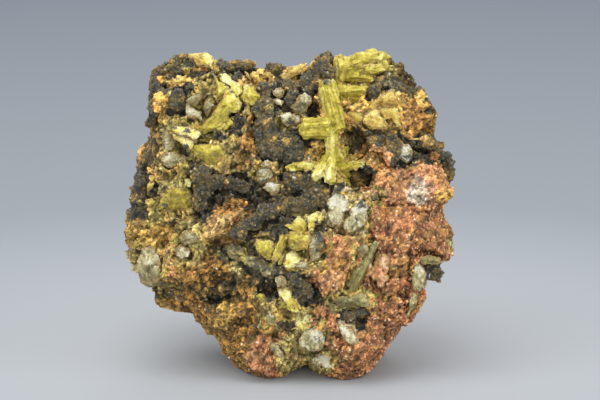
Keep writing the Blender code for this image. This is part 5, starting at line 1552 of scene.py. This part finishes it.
def crust_tones(points):
    """Tones on thick crust: dark, with smooth olive-grey and brownish parts."""
    tones = tones_at(points)
    allowed = [TONE_NUMBER[name] for name in ("dark", "slate_olive", "umber")]
    u, v, depth = to_sight(points)
    brown_side = ((u > 14) & (v > 11)) | (v > 26.5)
    brownish = waves(points, 2.2, 22) > np.where(brown_side, 0.0, 0.36)
    tones = np.where(np.isin(tones, allowed), tones, TONE_NUMBER["dark"])
    tones = np.where(brownish, TONE_NUMBER["umber"], tones)
    u, v, depth = to_sight(points + drift(points, 1.2, 55) * 0.8)
    for *spot, under in WORN:
        tones[apart(u, v, spot) < 1] = TONE_NUMBER[under]
    return tones


def crust_shade(points):
    """How light thick crust is: 1, and less where painted shade darkens it."""
    u, v, depth = to_sight(points)
    shade = np.ones(len(points))
    for *spot, darker in PAINTED_CRUST_SHADE:
        shade -= darker * np.clip(SOFT_REACH - apart(u, v, spot), 0, 1)
    return np.clip(shade, 0.3, 1.0)


def bare_of(mesh, rock):
    """Where a mesh stands clear of the rock: 1 there, 0 where it is seated."""
    near = [rock.find_nearest(Vector(point))[3] for point in points_of(mesh)]
    return (np.array(near) > 0.6).astype(float)


class SPECIMEN_OT_crust(bpy.types.Operator):
    """Makes the patches of thick dark crust, and the beads on them"""

    bl_idname = "specimen.crust"
    bl_label = "Dark crust"

    def execute(self, context):
        chosen = settings().crust
        finish = crust_material()
        rock = surface_of(NODES["matrix"].data)
        bm = bmesh.new()
        for node in sorted(name for name in NODES if name.startswith("dark_")):
            crust = new_piece(node + "_velvet", merged_copy(node, [node]))
            refined(crust, chosen.point_spacing)
            knobbly(crust.data)
            points = points_of(crust.data)
            store_tones(crust.data, crust_tones(points), points, crust_shade(points))
            store_ridges(crust.data, 6, 0.25)
            crust.data.materials.append(finish)
            ride(crust, "dark_crust", node)
            set_values(crust.data, "cover", bare_of(crust.data, rock))
            bm.from_mesh(crust.data)
        piece = scatter(
            "crust_grains", mesh_from(bm, "all_crust"), scatter_tree("scatter_on_crust", False),
            shapes_collection("crust_bead_shapes", bead_shapes()), chosen.bead_density,
            (chosen.least_bead, chosen.largest_bead), CRUST_SEED, grain_material("crust_grains", 0.3, 0.3),
        )
        ride(piece, "dark_crust")
        return {"FINISHED"}


# Crystals


# Painted shadow, body, painted light and palest painted highlight tones of each kind of crystal.
HABITS = {
    "golden_crystal": ((132, 94, 24), (194, 158, 48), (230, 208, 104), (242, 228, 150)),
    "yellow_green_crystal": ((130, 110, 12), (188, 170, 28), (230, 214, 92), (244, 236, 162)),
    "olive_green_crystal": ((76, 72, 30), (142, 134, 64), (188, 182, 114), (216, 210, 156)),
    "pale_crystal": ((100, 90, 50), (168, 158, 102), (224, 216, 172), (244, 240, 214)),
    "salmon_crystal": ((136, 82, 46), (196, 132, 82), (224, 174, 126), (236, 200, 160)),
}
# How much light goes through each kind, where it isn't plain.
GLASSY = {"pale_crystal": 0.25, "olive_green_crystal": 0.25}
PLAIN_GLASSY = 0.06
# How uneven the faces of each kind are in shade, and how dusty at the rim.
UNEVEN = {"pale_crystal": 1.6, "salmon_crystal": 2.2}
# How the thinner crystals lie along a long one: how many, least and largest share of its width, how far
# they splay, and how deep its growth lines are in millimetres.
PLAIN_GROWTH = (3, 0.45, 0.75, 0.03, 0.07)
GROWTH = {
    "centre_cross": (7, 0.24, 0.45, 0.06, 0.17),
    "upright_behind_cross": (5, 0.25, 0.45, 0.05, 0.14),
    "top_right_bundle": (5, 0.3, 0.55, 0.04, 0.14),
    "green_prism_long": (3, 0.3, 0.5, 0.0, 0.1),
    "green_prism_low": (3, 0.3, 0.5, 0.0, 0.1),
}
# How much lighter a node's crystals are, below 0 where they are darker.
SHADES = {
    "top_right_bundle": -0.2, "lower_left_crystal": -0.35, "top_golden_crystals": -0.1,
    "left_small_crystals": -0.25, "left_pale_crystals": -0.2, "upper_centre_crystals": -0.1,
}
# How high the fine knobs on a node's blocks are, in millimetres.
KNOBS = {"salmon_plate": 0.45, "lower_left_crystal": 0.12, "pale_ridge_crystals": 0.12, "spotted_slab": 0.2}


def new_crystal(root, tip, light):
    """A crystal's axis, with directions across it and its lightness."""
    axis = (tip - root).normalized()
    side = axis.orthogonal().normalized()
    return {"root": root, "tip": tip, "axis": axis, "side": side, "other": axis.cross(side), "light": light}


def prism_surface(crystal, rng):
    """Points and faces of a six-sided crystal with uneven sides, in millimetres."""
    root, tip, wide, taper = (crystal[name] for name in ("root", "tip", "wide", "taper"))
    turn = rng.uniform(0, math.tau)
    corners = [(k * math.tau / 6 + turn, rng.uniform(0.84, 1.12)) for k in range(6)]
    end = min(0.3, wide * taper * 0.22 / (tip - root).length)
    lean = crystal["side"] * rng.uniform(-0.14, 0.14) + crystal["other"] * rng.uniform(-0.14, 0.14)
    slope = crystal["axis"] * rng.uniform(-0.35, 0.35)
    points, faces = [], []
    for share, size in ((0.0, 1.0), (0.35, 1.06), (0.7, 1.0), (1 - end, 0.96), (1.0, 0.7)):
        middle = root.lerp(tip, share)
        if share == 1.0:
            middle = middle + lean * wide * 0.4
        radius = wide / 2 * size * (1 + (taper - 1) * share)
        for angle, stretch in corners:
            out = crystal["side"] * math.cos(angle) + crystal["other"] * math.sin(angle)
            out = out * radius * stretch
            if share > 1 - end - 1e-6:
                out = out + slope * out.dot(crystal["side"])
            points.append(middle + out)
    for first in range(0, len(points) - 6, 6):
        for k in range(6):
            a, b = first + k, first + (k + 1) % 6
            faces.append((a, b, b + 6, a + 6))
    faces.append(tuple(range(5, -1, -1)))
    faces.append(tuple(range(len(points) - 6, len(points))))
    return points, faces


def axis_of(row, surface):
    """Root and tip of a crystal's axis, found on its CAD solid along the line of sight."""
    u0, v0, u1, v1, wide = row[:5]
    found = []
    for share in (0.3, 0.5, 0.7, 0.9):
        depth = depth_on(surface, u0 + (u1 - u0) * share, v0 + (v1 - v0) * share)
        if depth is not None:
            found.append((share, depth))
    if len(found) < 2:
        raise RuntimeError(f"a crystal at {row[:4]} isn't on its CAD solid")
    slope = max(-3.0, min(8.0, np.polyfit(*zip(*found), 1)[0]))
    inner = sum(depth - slope * share for share, depth in found) / len(found) - wide * AXIS_INSET
    return from_sight(u0, v0, inner), from_sight(u1, v1, inner + slope)


def bundle(row, surface, growth, rng):
    """A large crystal and the thinner ones that lie along it and splay a little from it."""
    root, tip = axis_of(row, surface)
    wide, taper = row[4], row[7]
    count, least, largest, splay = growth[:4]
    main = new_crystal(root, tip, rng.uniform(-0.2, 0.2))
    main.update(wide=wide * 0.92, taper=taper)
    axis = tip - root
    made = [main]
    for k in range(count):
        angle = k * math.tau / count + rng.uniform(-0.5, 0.5)
        out = main["side"] * math.cos(angle) + main["other"] * math.sin(angle)
        thin = wide * rng.uniform(least, largest)
        inset = wide * 0.5 - thin * AXIS_INSET
        start = root + axis * rng.uniform(-0.02, 0.25) + out * inset
        end = root + axis * rng.uniform(0.68, 1.05) + out * inset * taper
        end += out * axis.length * splay * rng.uniform(0.0, 1.0)
        made.append(new_crystal(start, end, rng.uniform(-0.5, 0.5)))
        made[-1].update(wide=thin, taper=rng.uniform(0.7, 0.95))
    return made


# A block of crystal: how far it stands off its solid, where its bevel starts between its middle and its
# rim, how steeply its face leans for its lightness, and its thickness behind the rim, in millimetres.
BLOCK_LIFT, BEVEL_START, BLOCK_LEAN, BLOCK_DEPTH = 0.1, 0.8, 0.3, 2.6


def broken_outline(block, rng):
    """A block's outline with a chipped corner between each two of its corners."""
    corners = [np.array(corner) for corner in outline_of(block)]
    made = []
    for here, after in zip(corners, corners[1:] + corners[:1]):
        along = after - here
        chip = np.array([-along[1], along[0]]) * rng.uniform(-0.16, 0.16)
        made += [here, here + along * rng.uniform(0.35, 0.65) + chip]
    return made


def block_mesh(block, own, whole, rng):
    """A broken crystal: a nearly flat face with a bevel down to its outline. A light one leans upward."""
    light, relief = block[:2]
    middle = np.mean(outline_of(block), 0)
    top = depth_on(own, *middle)
    if top is None:
        top = depth_on(whole, *middle)
    top += BLOCK_LIFT
    slope_u, slope_v = rng.uniform(-0.16, 0.16), -BLOCK_LEAN * light + rng.uniform(-0.08, 0.08)
    bm = bmesh.new()
    peak = bm.verts.new(from_sight(*block[2:4], top + 0.12 * relief))
    rings = [[], [], []]
    for corner in broken_outline(block, rng):
        out = corner - middle
        reach = BEVEL_START * rng.uniform(0.75, 1.25)
        flat = top + out[0] * slope_u + out[1] * slope_v
        face = middle + out * reach
        rim = flat - relief * rng.uniform(0.2, 0.6)
        rings[0].append(from_sight(*face, top + (flat - top) * reach - relief * rng.uniform(-0.04, 0.1)))
        rings[1].append(from_sight(*corner, rim))
        rings[2].append(from_sight(*(middle + out * 0.8), rim - BLOCK_DEPTH))
    rings = [[bm.verts.new(place) for place in ring] for ring in rings]
    for k in range(len(rings[0])):
        after = (k + 1) % len(rings[0])
        bm.faces.new((peak, rings[0][k], rings[0][after]))
        for inner, outer in zip(rings, rings[1:]):
            bm.faces.new((inner[k], outer[k], outer[after], inner[after]))
    bm.faces.new(rings[2])
    bmesh.ops.triangulate(bm, faces=bm.faces)
    bmesh.ops.recalc_face_normals(bm, faces=bm.faces)
    bmesh.ops.subdivide_edges(bm, edges=bm.edges, cuts=3, use_grid_fill=True)
    bmesh.ops.scale(bm, vec=(MM, MM, MM), verts=bm.verts)
    corners = [from_sight(*corner, top) for corner in outline_of(block)]
    ends = [(start, end) for start in corners for end in corners]
    root, tip = max(ends, key=lambda pair: (pair[0] - pair[1]).length)
    return mesh_from(bm, "block"), new_crystal(root, tip, light)


def paleness_at(points):
    """How much paler a crystal is at each point, below 0 where it is duller. It is added to the crystal's
    painted lightness.
    """
    u, v, depth = to_sight(points)
    pale = np.zeros(len(points))
    for spot in PALE_SPOTS:
        pale = np.maximum(pale, 1 - apart(u, v, spot))
    pale *= 1.2
    for spot in DULL_SPOTS:
        pale -= 0.6 * np.clip(SOFT_REACH - apart(u, v, spot), 0, 1)
    return pale


def rim_of(points, block):
    """How near each point is to its block's outline: 1 on it, 0 from RIM_WIDTH inward."""
    u, v, depth = to_sight(points)
    here = np.stack([u, v], 1)
    corners = np.array(outline_of(block))
    away = np.full(len(points), 9.0)
    for start, end in zip(corners, np.roll(corners, -1, 0)):
        along = end - start
        share = np.clip((here - start) @ along / (along @ along), 0, 1)
        away = np.minimum(away, np.hypot(*(here - start - share[:, None] * along).T))
    away = np.where(within_outline(u, v, outline_of(block)), away, 0)
    return np.clip(1 - away / RIM_WIDTH, 0, 1)


def cleave(mesh, block, rng):
    """Breaks a block's face along two ridges. Gives each point its facet's painted lightness, lighter on
    one side of each ridge and darker on the other.
    """
    points = points_of(mesh)
    u, v, depth = to_sight(points)
    corners = np.array(outline_of(block))
    size = np.ptp(corners, 0).max() / 2
    shade, drop = np.zeros(len(points)), np.zeros(len(points))
    angle = rng.uniform(-0.6, 0.6)
    for light in (0.45, 0.3):
        away = ((v - block[3]) * math.cos(angle) - (u - block[2]) * math.sin(angle)) / size
        shade += light * np.tanh(9 * away)
        drop += 0.15 * block[1] * np.abs(away)
        angle += rng.choice((-1, 1)) * rng.uniform(0.9, 1.5)
    set_points(mesh, points - np.outer(drop, TOWARD))
    return shade


def store_growth(mesh, crystals, nearest, shade=0.0):
    """Stores where each point lies along its crystal and across it, and its painted lightness from its
    crystal, its spots and the shade given.
    """
    points = points_of(mesh)
    frames = np.array([[*c["side"], *c["other"], *c["axis"]] for c in crystals]).reshape(-1, 3, 3)
    roots = np.array([c["root"] for c in crystals])
    lengths = np.array([(c["tip"] - c["root"]).length for c in crystals])
    place = np.einsum("nij,nj->ni", frames[nearest], points - roots[nearest])
    set_values(mesh, "height", np.clip(place[:, 2] / lengths[nearest], 0, 1))
    light = np.array([c["light"] for c in crystals])[nearest]
    set_values(mesh, "light", light + paleness_at(points) + shade)
    place[:, 0] += np.array(nearest) * 7.3
    stored = mesh.attributes.new("growth", "FLOAT_VECTOR", "POINT")
    stored.data.foreach_set("vector", place.astype(np.float32).ravel())
    return place


def coats_at(points):
    """How near each point is to the middle of a patch of dark beads: 0 outside, 1 in the middle."""
    u, v, depth = to_sight(points + drift(points, 1.0, 34) * 0.6)
    coat = np.zeros(len(points))
    for spot in COATS:
        coat = np.maximum(coat, np.clip(COAT_REACH - apart(u, v, spot), 0, 1))
    return coat


def roughen(mesh, place, line_depth, sharp, knobs=0.0):
    """Gives a crystal growth lines, chips, uneven faces, fine knobs and coats of dark beads."""
    at, normals = points_of(mesh), normals_of(mesh)
    coat = coats_at(at)
    chips = steps(at + drift(at, 1.0, 35) * 0.3, 1.5, 36)[0]
    at = at + (drift(at, 1.4, 37) * 0.3 + drift(at, 0.5, 38) * 0.14) * sharp
    lift = waves(place * np.array([1.0, 1.0, 0.12]), 0.55, 31) * line_depth
    lift += waves(at, 1.8, 32) * 0.07 + waves(at, 0.5, 33) * 0.04 + 0.2 * (chips - 0.5) * (1 - sharp)
    lift += np.clip(coat * 2, 0, 1) * 0.4 * domes(at, 0.8)
    if knobs:
        lift += knobs * (domes(at, 0.9) + waves(at, 1.1, 39))
    set_points(mesh, at + normals * lift[:, None])
    store_ridges(mesh, 6, 0.16)
    set_values(mesh, "coat", coat)


def fused_prisms(node, rows, own, chosen, rng):
    """One node's long crystals, grown together."""
    growth = GROWTH.get(node, PLAIN_GROWTH)
    crystals, points, faces, owners = [], [], [], []
    for row in rows:
        for crystal in bundle(row, own, growth, rng):
            own_points, own_faces = prism_surface(crystal, rng)
            faces += [tuple(len(points) + place for place in face) for face in own_faces]
            points += own_points
            owners += [len(crystals)] * len(own_faces)
            crystals.append(crystal)
    mesh = bpy.data.meshes.new(node)
    mesh.from_pydata([point * MM for point in points], [], faces)
    piece = refined(new_piece(node + "_fused", mesh), chosen.point_spacing)
    skin = BVHTree.FromPolygons(points, faces)
    nearest = [owners[skin.find_nearest(Vector(point))[2]] for point in points_of(piece.data)]
    place = store_growth(piece.data, crystals, nearest, SHADES.get(node, 0.0))
    roughen(piece.data, place, growth[4], 0.0)
    mesh = piece.data
    bpy.data.objects.remove(piece)
    return mesh


def grow_crystals(node, whole, chosen, seed):
    """One node's crystals, long ones and broken blocks, in one piece."""
    own = surface_of(NODES[node].data)
    rng = random.Random(seed)
    parts = []
    if node in CRYSTALS:
        parts.append(fused_prisms(node, CRYSTALS[node], own, chosen, rng))
    for block in BLOCKS.get(node, []):
        mesh, crystal = block_mesh(block, own, whole, rng)
        rim = rim_of(points_of(mesh), block)
        shade = cleave(mesh, block, rng) + SHADES.get(node, 0.0)
        place = store_growth(mesh, [crystal], np.zeros(len(mesh.vertices), int), shade)
        roughen(mesh, place, 0.1, 1.0, KNOBS.get(node, 0.0))
        set_values(mesh, "rim", rim)
        mesh.shade_smooth()
        mesh.set_sharp_from_angle(angle=SHARP_ANGLE)
        parts.append(mesh)
    bm = bmesh.new()
    for mesh in parts:
        bm.from_mesh(mesh)
    return new_piece(node + "_grown", mesh_from(bm, node + "_grown"))


class SPECIMEN_OT_crystals(bpy.types.Operator):
    """Makes the large crystals"""

    bl_idname = "specimen.crystals"
    bl_label = "Crystals"

    def execute(self, context):
        chosen = settings().crystals
        slots = {sub["node"]: sub["material_slot"] for sub in frame["record"]["subparts"]}
        finishes = {
            name: crystal_material(name, *tones, GLASSY.get(name, PLAIN_GLASSY), UNEVEN.get(name, 1.0))
            for name, tones in HABITS.items()
        }
        whole = whole_surface()
        for number, node in enumerate(sorted({*CRYSTALS, *BLOCKS})):
            piece = grow_crystals(node, whole, chosen, CRYSTAL_SEED + number)
            piece.data.materials.append(finishes[slots[node]])
            ride(piece, slots[node], node)
        return {"FINISHED"}


class SPECIMEN_PT_panel(bpy.types.Panel):
    """Lists what the specimen is made of"""

    bl_idname = "SPECIMEN_PT_panel"
    bl_label = "Specimen"
    bl_space_type = "VIEW_3D"
    bl_region_type = "UI"
    bl_category = "Specimen"

    def draw(self, context):
        for operator in OPERATORS:
            self.layout.operator(operator.bl_idname)
        for group in (settings().stage, settings().rock, settings().crust, settings().crystals):
            box = self.layout.box()
            for name in group.__annotations__:
                box.prop(group, name)


class SpecimenSettings(bpy.types.PropertyGroup):
    """All of the specimen's settings."""

    stage: PointerProperty(type=StageSettings)
    rock: PointerProperty(type=RockSettings)
    crust: PointerProperty(type=CrustSettings)
    crystals: PointerProperty(type=CrystalSettings)


OPERATORS = (SPECIMEN_OT_stage, SPECIMEN_OT_rock, SPECIMEN_OT_crust, SPECIMEN_OT_crystals)
GROUPS = (StageSettings, RockSettings, CrustSettings, CrystalSettings, SpecimenSettings)


def register():
    for made in (*GROUPS, *OPERATORS, SPECIMEN_PT_panel):
        bpy.utils.register_class(made)
    bpy.types.Scene.specimen = PointerProperty(type=SpecimenSettings)


def unregister():
    del bpy.types.Scene.specimen
    for made in reversed((*GROUPS, *OPERATORS, SPECIMEN_PT_panel)):
        bpy.utils.unregister_class(made)


def main():
    register()
    for operator in OPERATORS:
        group, name = operator.bl_idname.split(".")
        getattr(getattr(bpy.ops, group), name)()
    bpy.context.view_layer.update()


if __name__ == "__main__":
    main()
